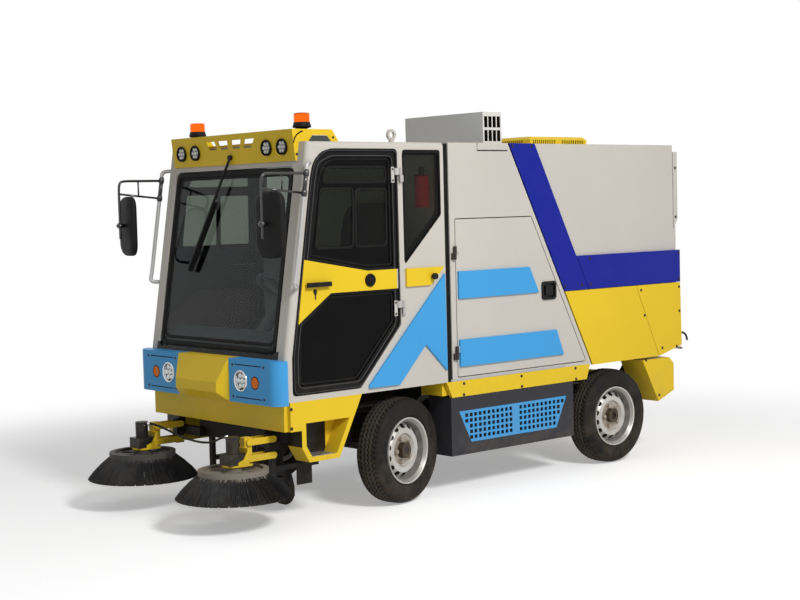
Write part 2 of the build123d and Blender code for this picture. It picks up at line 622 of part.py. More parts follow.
# Cab doors with glass, handle and lock
band_depth = 8
handle_z = 1317
grip_x = cab_front_x - 227
lock_x = 875
pane_brow = (cab_front_x - 275, 2016)
upper_pane = ((cab_front_x - 183, 1470), (885, 1392), (690, 1392), (690, 2016), pane_brow)
pane_round = {"corner": 16, "brow": pane_brow, "brow_radius": brow_radius - 45}
lower_pane = ((cab_front_x - 93, 762), (978, 762), (690, 1072), (690, 1250), (cab_front_x - 318, 1250),
              (cab_front_x - 98, 1090))
band_line = ((cab_front_x - 143, 1456), (888, 1376), (662, 1376), (662, 1264), (cab_front_x - 323, 1264),
             (cab_front_x - 91, 1104))
for side, sign in (("left", 1), ("right", -1)):
    with BuildPart() as door:
        slab(door_hole, half_width, half_width - 38, inset=gap, **door_round)
        slab(upper_pane, half_width + 1, half_width - 39, Mode.SUBTRACT, **pane_round)
        slab(lower_pane, half_width + 1, half_width - 39, Mode.SUBTRACT, corner=16)
        slab(band_line, half_width + band_depth, half_width - 1)
        rod((lock_x, half_width, handle_z + 5), (lock_x, half_width + 16, handle_z + 5), 37)
        for x in (grip_x - 60, grip_x + 60):
            rod((x, half_width, handle_z), (x, half_width + 30, handle_z), 9)
        block(grip_x - 84, grip_x + 84, half_width + 24, half_width + 36, handle_z - 13, handle_z + 13)
        for z in hinge_z:
            block(door_pin[0], door_pin[0] + 40, half_width + 6, door_pin[1] - 2, z + 1, z + 40)
            block(door_pin[0] + 22, door_pin[0] + 40, half_width - 1, door_pin[1] - 2, z + 1, z + 40)
            rod((door_pin[0], door_pin[1], z + 1), (door_pin[0], door_pin[1], z + 40), 9)
            rod((door_pin[0], door_pin[1], z), (door_pin[0], door_pin[1], z + 42), 4.06, Mode.SUBTRACT)
        if sign < 0:
            mirror(about=Plane.XZ, mode=Mode.REPLACE)
    save(door, "door_" + side)
    with BuildPart() as door_glass:
        slab(upper_pane, half_width - 12, half_width - 17, inset=0.5, **pane_round)
        slab(lower_pane, half_width - 12, half_width - 17, inset=0.5, corner=16)
        if sign < 0:
            mirror(about=Plane.XZ, mode=Mode.REPLACE)
    save(door_glass, "door_glass_" + side)

# Engine bay doors with their stripes and latch
stripe_upper = ((185, 1338), (-425, 1338), (-506, 1174), (185, 1174))
stripe_lower = ((185, 928), (-661, 928), (-726, 766), (185, 766))
for side, sign in (("left", 1), ("right", -1)):
    with BuildPart() as bay_door:
        slab(bay_hole, half_width, half_width - 30, inset=gap, corner=14)
        slab(stripe_upper, half_width + plate_depth, half_width - 1)
        slab(stripe_lower, half_width + plate_depth, half_width - 1)
        with BuildSketch(side_plane(half_width + 8)) as latch:
            with Locations((-605, 1181)):
                RectangleRounded(132, 117, 22)
        extrude(latch.sketch, amount=9)
        with BuildSketch(side_plane(half_width + 9)) as recess:
            with Locations((-605, 1181)):
                RectangleRounded(104, 88, 14)
        extrude(recess.sketch, amount=16, mode=Mode.SUBTRACT)
        block(-645, -577, half_width - 8, half_width + 4, 1150, 1212)
        for z in (1450, 850):
            block(bay_pin[0] - 40, bay_pin[0], half_width + 6, bay_pin[1] - 2, z + 1, z + 40)
            block(bay_pin[0] - 40, bay_pin[0] - 22, half_width - 1, bay_pin[1] - 2, z + 1, z + 40)
            rod((bay_pin[0], bay_pin[1], z + 1), (bay_pin[0], bay_pin[1], z + 40), 9)
            rod((bay_pin[0], bay_pin[1], z), (bay_pin[0], bay_pin[1], z + 42), 4.06, Mode.SUBTRACT)
        if sign < 0:
            mirror(about=Plane.XZ, mode=Mode.REPLACE)
    save(bay_door, "bay_door_" + side)

# Hopper, open at the rear
hopper_line = ((seam_x(roof_z) - seam_gap, roof_z), (seam_x(hopper_floor_z) - seam_gap, hopper_floor_z),
               (-1700, hopper_floor_z), (hopper_rear_x, 722), (hopper_rear_x, roof_z))
hollow_top = roof_z - hopper_wall
hollow_low = hopper_floor_z + hopper_wall
hollow_line = ((seam_x(hollow_top) - seam_gap - 34, hollow_top), (seam_x(hollow_low) - seam_gap - 34, hollow_low),
               (-1700, hollow_low), (hopper_rear_x - 5, hollow_low + 32), (hopper_rear_x - 5, hollow_top))
with BuildPart() as hopper_shell:
    slab(hopper_line, hopper_half, -hopper_half)
    slab(hollow_line, hopper_half - hopper_wall, hopper_wall - hopper_half, Mode.SUBTRACT)
    slab(((hopper_rear_x, 722), (-2020, 690), (-2020, 696), (hopper_rear_x, 732)), hopper_half - 60, 60 - hopper_half)
    for sign in (1, -1):
        y_out = sign * 347 + 14
        slab(((-1800, 708), (-1860, 640), (-1880, 626), (-1910, 626), (-1924, 645), (-1924, 670), (-1884, 724)),
             y_out, y_out - 28)
        rod((tip_pin[0], sign * 300, tip_pin[1]), (tip_pin[0], sign * 400, tip_pin[1]), 14.06, Mode.SUBTRACT)
        for y in (sign * ram_y - 44, sign * ram_y + 32):
            slab(((-1560, 695), (-1560, 640), (-1575, 606), (-1625, 606), (-1640, 640), (-1640, 695)), y + 12, y)
        block(hopper_rear_x - 30, hopper_rear_x + 10, sign * 400 - 20, sign * 400 + 20, 2076, 2096)
        rod((gate_pin[0], sign * 400 - 20, gate_pin[1]), (gate_pin[0], sign * 400 + 20, gate_pin[1]), 14)
        rod((gate_pin[0], sign * 400 - 60, gate_pin[1]), (gate_pin[0], sign * 400 + 60, gate_pin[1]), 7)
save(hopper_shell, "hopper_shell")
band_left = seam_x(1168) - seam_gap
with BuildPart() as hopper_bands:
    slab(((seam_x(roof_z) - seam_gap, roof_z), (-504, roof_z), (-986, 1168), (band_left, 1168)), half_width, hopper_half)
    slab(((-877, 1388), (hopper_rear_x - 45, 1388), (hopper_rear_x - 45, 1168), (-990, 1168)), half_width, hopper_half)
    mirror(about=Plane.XZ)
save(hopper_bands, "hopper_bands")
with BuildPart() as hopper_panels:
    slab(((seam_x(1164) - seam_gap, 1164), (-1460, 1164), (-1691, 672), (seam_x(672) - seam_gap, 672)),
         half_width, hopper_half)
    slab(((-1464, 1164), (hopper_rear_x - 45, 1164), (hopper_rear_x - 53, 731), (-1695, 672)), half_width, hopper_half)
    mirror(about=Plane.XZ)
save(hopper_panels, "hopper_panels")
with BuildPart() as roof_cover:
    block(-1190, -650, 160 - hopper_half, hopper_half - 160, roof_z, roof_z + 55)
    chamfer(roof_cover.faces().sort_by(Axis.Z)[-1].edges(), 20)
    for plane in (side_plane(hopper_half - 160), side_plane(174 - hopper_half)):
        with BuildSketch(plane) as slots:
            with Locations((-785, roof_z + 20), (-1055, roof_z + 20)):
                with GridLocations(18, 1, 12, 1):
                    Rectangle(8, 28)
        extrude(slots.sketch, amount=14, mode=Mode.SUBTRACT)
    for x in (-650, -1176):
        with BuildSketch(front_plane(x)) as slots:
            with Locations((-330, roof_z + 20), (0, roof_z + 20), (330, roof_z + 20)):
                with GridLocations(18, 1, 12, 1):
                    Rectangle(8, 28)
        extrude(slots.sketch, amount=-14, mode=Mode.SUBTRACT)
save(roof_cover, "roof_cover")
with BuildPart() as tailgate:
    block(hopper_rear_x - 51, hopper_rear_x - 7, 20 - hopper_half, hopper_half - 20, 752, 2060)
    for sign in (1, -1):
        for y in (sign * 400 - 48, sign * 400 + 26):
            block(-1936, gate_pin[0], y, y + 22, 2050, gate_pin[1])
            rod((gate_pin[0], y, gate_pin[1]), (gate_pin[0], y + 22, gate_pin[1]), 14)
            rod((gate_pin[0], y - 1, gate_pin[1]), (gate_pin[0], y + 23, gate_pin[1]), 7.06, Mode.SUBTRACT)
        slab(((hopper_rear_x - 8, 2060), (hopper_rear_x - 51, 2060), (hopper_rear_x - 51, 1600),
              (hopper_rear_x - 8, 1540)), sign * (hopper_half - 10) + 10, sign * (hopper_half - 10) - 10)
save(tailgate, "tailgate")

# Tip cylinders
ram_length = math.hypot(ram_eye[0] - ram_foot[0], ram_eye[1] - ram_foot[1])
ram_way = Vector((ram_eye[0] - ram_foot[0]) / ram_length, 0, (ram_eye[1] - ram_foot[1]) / ram_length)
with BuildPart() as tip_barrels:
    for sign in (1, -1):
        foot = Vector(ram_foot[0], sign * ram_y, ram_foot[1])
        rod(foot, foot + ram_way * 560, 32)
        rod(foot - Vector(0, 18, 0), foot + Vector(0, 18, 0), 24)
        rod(foot + ram_way * 60, foot + ram_way * 570, 18.06, Mode.SUBTRACT)
        rod(foot - Vector(0, 40, 0), foot + Vector(0, 40, 0), 10.06, Mode.SUBTRACT)
        block(foot.X - 40, foot.X + 60, foot.Y + 18, foot.Y + 60, foot.Z - 60, foot.Z + 60, Mode.SUBTRACT)
        block(foot.X - 40, foot.X + 60, foot.Y - 60, foot.Y - 18, foot.Z - 60, foot.Z + 60, Mode.SUBTRACT)
save(tip_barrels, "tip_barrels")
with BuildPart() as tip_rods:
    for sign in (1, -1):
        foot = Vector(ram_foot[0], sign * ram_y, ram_foot[1])
        eye = Vector(ram_eye[0], sign * ram_y, ram_eye[1])
        rod(foot + ram_way * 330, eye, 18)
        rod(eye - Vector(0, 18, 0), eye + Vector(0, 18, 0), 22)
        rod(eye - Vector(0, 40, 0), eye + Vector(0, 40, 0), 11, Mode.SUBTRACT)
save(tip_rods, "tip_rods")
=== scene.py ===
import bpy
import bmesh
import json
import math
import random
from mathutils import Matrix, Vector


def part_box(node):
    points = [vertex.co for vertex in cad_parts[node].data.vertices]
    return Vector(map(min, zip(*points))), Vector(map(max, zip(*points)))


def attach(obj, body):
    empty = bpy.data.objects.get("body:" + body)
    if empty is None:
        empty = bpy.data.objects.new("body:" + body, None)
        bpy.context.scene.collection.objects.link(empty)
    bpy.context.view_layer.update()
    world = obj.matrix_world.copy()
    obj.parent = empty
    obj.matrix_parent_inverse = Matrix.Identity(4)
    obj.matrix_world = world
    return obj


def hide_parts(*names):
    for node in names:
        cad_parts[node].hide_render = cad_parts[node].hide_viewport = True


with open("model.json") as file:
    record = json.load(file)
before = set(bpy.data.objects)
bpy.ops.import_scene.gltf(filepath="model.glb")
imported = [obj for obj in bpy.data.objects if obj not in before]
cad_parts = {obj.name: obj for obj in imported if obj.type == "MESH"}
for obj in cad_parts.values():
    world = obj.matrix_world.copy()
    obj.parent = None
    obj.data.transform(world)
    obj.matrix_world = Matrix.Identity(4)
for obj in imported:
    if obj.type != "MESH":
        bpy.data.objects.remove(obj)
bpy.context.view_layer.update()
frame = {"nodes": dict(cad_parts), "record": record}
nodes = frame["nodes"]
scene = bpy.context.scene
sides = (("left", 1), ("right", -1))
up = Vector((0, 0, 1))
forward = Vector((1, 0, 0))
screenSlope = 0.1617  # run of the raked front for each metre of height
print("frame loaded:", len(nodes), "nodes")

# Colours as the eye reads them, written as display values
paintColours = {
    "yellow": (0.915, 0.775, 0.160),
    "skyBlue": (0.270, 0.630, 0.870),
    "royalBlue": (0.030, 0.105, 0.560),
    "warmGrey": (0.790, 0.770, 0.735),
    "ductGrey": (0.800, 0.805, 0.800),
    "edgeGrey": (0.740, 0.730, 0.720),
    "charcoal": (0.200, 0.200, 0.220),
    "frameBlack": (0.100, 0.100, 0.105),
    "fittingBlack": (0.100, 0.100, 0.110),
    "lockBlack": (0.075, 0.075, 0.080),
    "stepShade": (0.075, 0.070, 0.065),
    "seamBrown": (0.240, 0.220, 0.200),
    # dark yellow painted inside the roof cover's slots as shade
    "slotShade": (0.160, 0.130, 0.050),
    "paneTint": (0.500, 0.520, 0.460),
    "rimSilver": (0.740, 0.735, 0.730),
    "dust": (0.560, 0.500, 0.410),
    "red": (0.800, 0.060, 0.090),
}
dustSet = {
    "detail": 6.0, "roughness": 0.65, "topShare": 0.06, "cloudLow": 0.38, "cloudHigh": 0.72, "dulls": 0.45,
}
skinSet = {
    "broadScale": 1.7, "broadDetail": 4.0, "broadLow": 0.3, "broadHigh": 0.7, "smearScale": 11.0,
    "smearDetail": 5.0, "smearShare": 0.16, "peelDetail": 2.0, "peelDepth": 0.002, "coatRoughness": 0.12,
}
glassSet = {"smearScale": 6.0, "smearDetail": 6.0}


def toLinear(colour):
    rgb = paintColours.get(colour, colour)
    return tuple(c / 12.92 if c <= 0.04045 else ((c + 0.055) / 1.055) ** 2.4 for c in rgb) + (1.0,)


# Node helpers: a socket is linked, any other value is set
def fill(tree, sockets, values):
    for label, value in values.items():
        if isinstance(value, bpy.types.NodeSocket):
            tree.links.new(value, sockets[label])
        else:
            sockets[label].default_value = value


def addNode(tree, kind, given=None, **values):
    node = tree.nodes.new(kind)
    for key, value in values.items():
        setattr(node, key, value)
    fill(tree, node.inputs, given or {})
    return node


def mathNode(tree, operation, first, second=0.0, clamp=False):
    return addNode(tree, "ShaderNodeMath", {0: first, 1: second}, operation=operation,
                   use_clamp=clamp).outputs[0]


def vectorMath(tree, operation, first, second=(0, 0, 0)):
    return addNode(tree, "ShaderNodeVectorMath", {0: first, 1: second}, operation=operation).outputs


def mixColour(tree, factor, first, second):
    return addNode(tree, "ShaderNodeMix", {0: factor, 6: first, 7: second}, data_type="RGBA").outputs[2]


def objectPlace(tree):
    return addNode(tree, "ShaderNodeTexCoord").outputs["Object"]


def noise(tree, scale, detail, roughness=0.5):
    return addNode(tree, "ShaderNodeTexNoise", {"Vector": objectPlace(tree), "Scale": scale, "Detail": detail,
                                                "Roughness": roughness}).outputs["Fac"]


def mapRange(tree, value, low, high, toLow=0.0, toHigh=1.0, kind="LINEAR"):
    limits = {"Value": value, "From Min": low, "From Max": high, "To Min": toLow, "To Max": toHigh}
    return addNode(tree, "ShaderNodeMapRange", limits, interpolation_type=kind).outputs[0]


# Shader groups that several finishes share
def newGroup(name, inputs, outputs):
    tree = bpy.data.node_groups.new(name, "ShaderNodeTree")
    for label, value in inputs.items():
        kind = "NodeSocketColor" if isinstance(value, tuple) else "NodeSocketFloat"
        tree.interface.new_socket(label, in_out="INPUT", socket_type=kind).default_value = value
    for label, kind in outputs.items():
        tree.interface.new_socket(label, in_out="OUTPUT", socket_type=kind)
    return tree, tree.nodes.new("NodeGroupInput").outputs, tree.nodes.new("NodeGroupOutput").inputs


def buildDustGroup():
    tree, given, made = newGroup("roadDust", {"Low": 0.2, "High": 0.9, "Amount": 0.4, "Scale": 9.0},
                                 {"Mask": "NodeSocketFloat"})
    height = addNode(tree, "ShaderNodeSeparateXYZ", {0: objectPlace(tree)}).outputs["Z"]
    fall = mapRange(tree, height, given["Low"], given["High"], 1.0, dustSet["topShare"], "SMOOTHSTEP")
    cloud = noise(tree, given["Scale"], dustSet["detail"], dustSet["roughness"])
    both = mathNode(tree, "MULTIPLY", fall, mapRange(tree, cloud, dustSet["cloudLow"], dustSet["cloudHigh"]))
    fill(tree, made, {"Mask": mathNode(tree, "MULTIPLY", both, given["Amount"], clamp=True)})
    return tree


def buildSkinGroup():
    tree, given, made = newGroup("paintSkin",
                                 {"Colour": (0.5, 0.5, 0.5, 1), "Shift": 0.06, "Gloss": 0.3, "Peel": 260.0},
                                 {"Colour": "NodeSocketColor", "Roughness": "NodeSocketFloat",
                                  "Height": "NodeSocketFloat"})
    broad = noise(tree, skinSet["broadScale"], skinSet["broadDetail"])
    level = mapRange(tree, broad, skinSet["broadLow"], skinSet["broadHigh"])
    darker = mathNode(tree, "MULTIPLY", level, given["Shift"])
    smear = mathNode(tree, "MULTIPLY", noise(tree, skinSet["smearScale"], skinSet["smearDetail"]),
                     skinSet["smearShare"])
    fill(tree, made, {"Colour": mixColour(tree, darker, given["Colour"], (0.0, 0.0, 0.0, 1.0)),
                      "Roughness": mathNode(tree, "ADD", given["Gloss"], smear),
                      "Height": noise(tree, given["Peel"], skinSet["peelDetail"])})
    return tree


dustGroup = buildDustGroup()
skinGroup = buildSkinGroup()


# Zones of another colour: rules such as "W>0.68 Z<1.3", all of which hold inside the zone
def zoneMask(tree, rules, axle):
    place = objectPlace(tree)
    split = addNode(tree, "ShaderNodeSeparateXYZ", {0: place}).outputs
    mask = None
    for rule in rules.split():
        axis, way, limit = rule[0], rule[1], float(rule[2:])
        if axis == "W":  # off the centre line
            value = mathNode(tree, "ABSOLUTE", split["Y"])
        elif axis == "S":  # X plus Z
            value = mathNode(tree, "ADD", split["X"], split["Z"])
        elif axis == "L":  # along the raked front
            value = mathNode(tree, "ADD", split["X"], mathNode(tree, "MULTIPLY", split["Z"], screenSlope))
        elif axis == "R":  # off the wheel's axle
            arm = vectorMath(tree, "SUBTRACT", place, axle[0])[0]
            value = vectorMath(tree, "LENGTH", vectorMath(tree, "CROSS_PRODUCT", arm, axle[1])[0])["Value"]
        else:
            value = split[axis]
        test = mathNode(tree, "GREATER_THAN" if way == ">" else "LESS_THAN", value, limit)
        mask = test if mask is None else mathNode(tree, "MULTIPLY", mask, test)
    return mask


def zoned(tree, colour, zones, axle=None):
    base = toLinear(colour)
    for zoneColour, rules in zones:
        base = mixColour(tree, zoneMask(tree, rules, axle), base, toLinear(zoneColour))
    return base


def newMaterial(name):
    material = bpy.data.materials.new(name)
    material.use_nodes = True
    return material, material.node_tree, material.node_tree.nodes["Principled BSDF"].inputs


def paint(name, colour, gloss=0.3, dustAmount=0.25, dustHigh=0.9, shift=0.06, peel=260.0, bump=0.04,
          metallic=0.0, coat=0.05, specular=0.15, zones=(), axle=None):
    material, tree, shader = newMaterial(name)
    given = {"Colour": zoned(tree, colour, zones, axle), "Shift": shift, "Gloss": gloss, "Peel": peel}
    skin = addNode(tree, "ShaderNodeGroup", node_tree=skinGroup, given=given).outputs
    dust = addNode(tree, "ShaderNodeGroup", {"High": dustHigh, "Amount": dustAmount},
                   node_tree=dustGroup).outputs["Mask"]
    dulled = mathNode(tree, "MULTIPLY", dust, dustSet["dulls"])
    relief = addNode(tree, "ShaderNodeBump", {"Strength": bump, "Distance": skinSet["peelDepth"],
                                              "Height": skin["Height"]})
    fill(tree, shader, {"Base Color": mixColour(tree, dust, skin["Colour"], toLinear("dust")),
                        "Roughness": mathNode(tree, "ADD", skin["Roughness"], dulled, clamp=True),
                        "Normal": relief.outputs[0], "Metallic": metallic, "Specular IOR Level": specular,
                        "Coat Weight": coat, "Coat Roughness": skinSet["coatRoughness"]})
    return material


def glass(name, tint, roughness=0.02, bend=1.45, zones=()):
    material, tree, shader = newMaterial(name)
    smear = noise(tree, glassSet["smearScale"], glassSet["smearDetail"])
    fill(tree, shader, {"Base Color": zoned(tree, tint, zones), "Transmission Weight": 1.0, "IOR": bend,
                        "Roughness": mathNode(tree, "MULTIPLY", smear, roughness * 2)})
    return material


def boxMiddle(node):
    low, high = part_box(node)
    return (Vector(low) + Vector(high)) / 2


spins = {joint["name"]: joint for joint in frame["record"]["behaviour"]["joints"]}
axles = {}  # middle of each wheel and its axle, outwards
for key in ("front_left", "front_right", "rear_left", "rear_right"):
    axle = Vector(spins["spin_" + key]["axis"]).normalized()
    axles[key] = (boxMiddle("tyre_" + key), axle if (axle.y > 0) == ("left" in key) else -axle)

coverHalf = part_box("roof_cover")[1][1]
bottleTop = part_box("extinguisher")[1][2]
looks = {
    "yellow": paint("yellowPaint", "yellow", dustAmount=0.3, dustHigh=0.8),
    "skyBlue": paint("skyBluePaint", "skyBlue"),
    "royalBlue": paint("royalBluePaint", "royalBlue"),
    "grey": paint("warmGreyPaint", "warmGrey", dustAmount=0.12),
    # Roof duct: the recessed cells of its outlet grid are painted dark as shade, and its outer end is paler
    "duct": paint("ductPaint", "ductGrey", gloss=0.4,
                  zones=(((0.14, 0.12, 0.10), "Y>0.559 X>-0.2545 X<-0.0955 Z<2.2955"),
                         ((0.85, 0.84, 0.82), "Y>0.6395"))),
    # Roof cover: the walls inside its side slots and its cross slot are painted dark as shade
    "cover": paint("roofCoverPaint", "yellow", dustAmount=0.15,
                   zones=(("slotShade",
                           f"W<{coverHalf - 0.0006} W>{coverHalf - 0.0146} Z<2.1395 X>-1.17 X<-0.67"),
                          ("slotShade", "X<-0.6506 X>-0.6646 W<0.46 Z<2.1395"))),
    "cabFront": paint("cabFrontPaint", "warmGrey", dustAmount=0.12,
                      zones=(((0.05, 0.05, 0.052), "X>1.40 Z<0.958 W<0.612"),)),
    "bayShell": paint("bayShellPaint", "warmGrey", dustAmount=0.12,
                      zones=(("seamBrown", "W>0.6815 X>0.15"),)),
    # thin grey beads painted as highlights along the door's rubber seals
    "sealHighlight": paint("sealHighlight", (0.30, 0.30, 0.305), gloss=0.4, coat=0.0, dustAmount=0.1),
    "ventShade": paint("ventShade", (0.045, 0.040, 0.036), gloss=0.7, coat=0.0, specular=0.1, dustAmount=0.1),
    "charcoal": paint("charcoalPaint", "charcoal", gloss=0.42, dustAmount=0.18, dustHigh=0.5),
    "frame": paint("frameBlack", "frameBlack", gloss=0.45, dustAmount=0.25, dustHigh=0.6,
                   zones=(("yellow", "X<0.31 X>0.215 W>0.46 Z>0.58"),)),
    "rubber": paint("blackRubber", (0.050, 0.050, 0.052), gloss=0.6, coat=0.0, bump=0.12, peel=900.0),
    "plastic": paint("grainedBlack", (0.060, 0.060, 0.064), gloss=0.48, coat=0.0, bump=0.3, peel=1100.0),
    # dash plastic, its own grey lightened as a painted reflection for the lower windscreen
    "trim": paint("dashPlasticAndReflection", (0.46, 0.465, 0.45), gloss=0.55, coat=0.0, bump=0.3, peel=900.0),
    "red": paint("redPaint", "red", zones=(((0.06, 0.06, 0.065), f"Z>{bottleTop - 0.055}"),)),
    "iron": paint("castIron", (0.27, 0.27, 0.275), gloss=0.55, bump=0.3, peel=420.0),
    "chrome": paint("polishedSteel", (0.82, 0.82, 0.83), gloss=0.1, metallic=1.0, coat=0.0, dustAmount=0.05),
    "door": paint("doorFrame", (0.045, 0.045, 0.048), gloss=0.3, specular=0.12,
                  zones=(("yellow", "W>0.6815 Z>1.09 Z<1.47 X>0.67"), ((0.09, 0.09, 0.1), "W>0.6885"),
                         ("edgeGrey", "W>0.6815 X<0.67"))),
    "bayDoor": paint("bayDoorPaint", "warmGrey", dustAmount=0.12,
                     zones=(("skyBlue", "W>0.6806 X<0.19 Z>1.16 Z<1.35"),
                            ("skyBlue", "W>0.6806 X<0.19 Z>0.75 Z<0.94"), ("seamBrown", "W>0.6815 X>0.195"),
                            ("lockBlack", "X<-0.535 X>-0.675 Z>1.12 Z<1.242 W>0.6810"),
                            ("lockBlack", "X<-0.552 X>-0.658 Z>1.135 Z<1.227 W>0.662"))),
    "glass": glass("tintedGlass", (0.64, 0.68, 0.69), bend=1.22, zones=(((0.62, 0.63, 0.58), "X<0.65"),)),
    "doorGlass": glass("doorGlass", (0.05, 0.05, 0.055), bend=1.2,
                       zones=(("paneTint", "L<1.493 X>0.972 Z>1.512 Z<1.842"),
                              ("paneTint", "X<0.955 X>0.724 Z>1.514 Z<1.836"),
                              ("paneTint", "L<1.490 X>0.722 Z>1.876 Z<1.962"),
                              ((0.13, 0.095, 0.09), "Z<1.26"))),
    "barLens": paint("smokedLens", (0.21, 0.25, 0.22), gloss=0.05, coat=0.6, dustAmount=0.1),
    "clearLens": glass("clearLens", (0.95, 0.96, 0.97), bend=1.15),
    "amber": glass("amberLens", (1.0, 0.42, 0.01), 0.05, bend=1.2),
    "turnAmber": paint("turnAmber", (0.95, 0.46, 0.0), gloss=0.2, specular=0.1, dustAmount=0.05),
    "redLens": glass("redLens", (0.85, 0.06, 0.05), 0.05),
    "reflector": paint("lampReflector", (0.27, 0.28, 0.30), gloss=0.3, metallic=0.2, coat=0.0,
                       dustAmount=0.05),
    "ledBulb": paint("ledBulb", (0.93, 0.93, 0.90), gloss=0.05, dustAmount=0.0),
    "darkSteel": paint("darkSteel", (0.23, 0.20, 0.18), gloss=0.38, metallic=0.7, coat=0.0, dustAmount=0.2),
    "drumIron": paint("drumIron", (0.13, 0.105, 0.09), gloss=0.6, coat=0.0, bump=0.3, peel=300.0,
                      dustAmount=0.3),
    "step": paint("stepPaint", "yellow", dustAmount=0.2, dustHigh=0.6,
                  zones=(("stepShade", "W<0.5645 W>0.558 X>1.13 X<1.325 Z>0.36 Z<0.565"),
                         ("stepShade", "W<0.6785 X>1.336 X<1.40 Z>0.425"))),
    "alloy": paint("treadAlloy", (0.72, 0.72, 0.73), gloss=0.3, metallic=0.9, coat=0.0, dustAmount=0.5),
    "mirror": paint("mirrorSilver", (0.90, 0.91, 0.92), gloss=0.0, metallic=1.0, coat=0.0, dustAmount=0.02,
                    bump=0.0),
    "bristle": paint("bristleNylon", (0.180, 0.182, 0.190), gloss=0.42, coat=0.0, dustAmount=0.10,
                     dustHigh=0.6),
    "fabric": paint("seatFabric", (0.20, 0.205, 0.22), gloss=0.8, coat=0.0, bump=0.08, peel=420.0,
                    shift=0.12),
    # Brush rings: the top of the left ring is light grey, the right ring's top is painted darker as shade
    "brush": paint("brushRing", (0.085, 0.085, 0.09), gloss=0.5, coat=0.0, dustAmount=0.12, dustHigh=0.7,
                   zones=(((0.52, 0.49, 0.45), "Z>0.287 Y>0.0"), ((0.30, 0.295, 0.29), "Z>0.287 Y<0.0"))),
    "brushHead": paint("brushHeadPaint", "yellow", dustAmount=0.3,
                       zones=(("fittingBlack", "X>1.6435 Z>0.3505 W>0.412 W<0.5196"),)),
    "cabSide": paint("cabSidePaint", "warmGrey", dustAmount=0.14,
                     zones=(("skyBlue", "W>0.6806 S<1.65 Z<1.34"),
                            ("yellow", "W>0.6806 S>1.65 Z>1.25 Z<1.39 X<0.606"),
                            ("edgeGrey", "W>0.6806 X>0.604 S>1.70"),
                            ("fittingBlack", "W>0.6945 X<0.45 Z>1.28"))),
    "arm": paint("armBlack", (0.070, 0.070, 0.075), gloss=0.2, coat=0.4, specular=0.6, dustAmount=0.05),
    "rail": paint("railSilver", "rimSilver", gloss=0.3, metallic=0.3, dustAmount=0.15),
}
for key, axle in axles.items():
    looks["rim_" + key] = paint("rimSilver_" + key, (0.80, 0.79, 0.77), gloss=0.3, dustAmount=0.42,
                                dustHigh=0.75, metallic=0.4, axle=axle,
                                zones=(((0.68, 0.64, 0.59), "R<0.086"), ((0.20, 0.155, 0.12), "R<0.047"),
                                       ((0.60, 0.59, 0.58), "R>0.160 R<0.185")))
    looks["tyre_" + key] = paint("tyreRubber_" + key, (0.080, 0.078, 0.076), gloss=0.66, coat=0.0,
                                 specular=0.2, bump=0.2, peel=700.0, dustAmount=0.18, dustHigh=0.7, axle=axle,
                                 zones=(((0.215, 0.20, 0.18), "R>0.3045"),))
nodeLooks = {
    "step": "side_steps",
    "yellow": "front_panel light_bar side_skirts rear_bumper hopper_panels upper_links lower_links",
    "brushHead": "brush_heads",
    "skyBlue": "front_band mesh_panels",
    "royalBlue": "hopper_bands",
    "cabSide": "cab_side_left cab_side_right",
    "cover": "roof_cover",
    "cabFront": "cab_front",
    "bayShell": "bay_shell",
    "grey": "cab_floor cab_roof hopper_shell tailgate",
    "duct": "roof_duct",
    "charcoal": "skirt_boxes suction_nozzle",
    "frame": "frame_rails front_axle rear_axle brush_arms tip_barrels knuckle_left knuckle_right",
    "rubber": "cab_seal suction_hose nozzle_wheels",
    "brush": "brush_left brush_right",
    "plastic": "wiper lamps driver_seat mirrors",
    "trim": "dashboard",
    "red": "extinguisher",
    "iron": "engine_block",
    "chrome": "tip_rods",
    "door": "door_left door_right",
    "bayDoor": "bay_door_left bay_door_right",
    "glass": "cab_glass",
    "doorGlass": "door_glass_left door_glass_right",
}
for key in axles:
    nodeLooks["rim_" + key] = "rim_" + key
    nodeLooks["tyre_" + key] = "tyre_" + key
for look, names in nodeLooks.items():
    for name in names.split():
        nodes[name].data.materials.clear()
        nodes[name].data.materials.append(looks[look])
print("finishes on the frame's nodes")


# Helpers that make a mesh piece and hang it on a body
def hang(piece, body, nodesReplaced=()):
    scene.collection.objects.link(piece)
    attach(piece, body)
    if nodesReplaced:
        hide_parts(*nodesReplaced)
    return piece


def meshPiece(name, shapes, look, body="chassis", smooth=True, nodesReplaced=()):
    verts, faces = [], []
    for moreVerts, moreFaces in shapes:
        start = len(verts)
        verts.extend(moreVerts)
        faces.extend(tuple(index + start for index in face) for face in moreFaces)
    mesh = bpy.data.meshes.new(name)
    mesh.from_pydata([tuple(v) for v in verts], [], faces)
    shell = bmesh.new()
    shell.from_mesh(mesh)
    bmesh.ops.recalc_face_normals(shell, faces=shell.faces)
    shell.to_mesh(mesh)
    shell.free()
    mesh.polygons.foreach_set("use_smooth", [smooth] * len(mesh.polygons))
    mesh.materials.append(looks[look])
    return hang(bpy.data.objects.new(name, mesh), body, nodesReplaced)


def evaluated(holder):
    scene.collection.objects.link(holder)
    made = bpy.data.meshes.new_from_object(holder.evaluated_get(bpy.context.evaluated_depsgraph_get()))
    bpy.data.objects.remove(holder)
    return made


def circle(count):
    return [(math.cos(2 * math.pi * k / count), math.sin(2 * math.pi * k / count)) for k in range(count)]


def axisFrame(axis):
    axis = Vector(axis).normalized()
    side = axis.orthogonal().normalized()
    return axis, side, axis.cross(side)


def gridFaces(rows, count, wrap=True):
    faces = []
    for k in range(rows):
        here, there = k * count, ((k + 1) % rows) * count
        faces.extend((here + j, there + j, there + (j + 1) % count, here + (j + 1) % count)
                     for j in range(count if wrap else count - 1))
    return faces


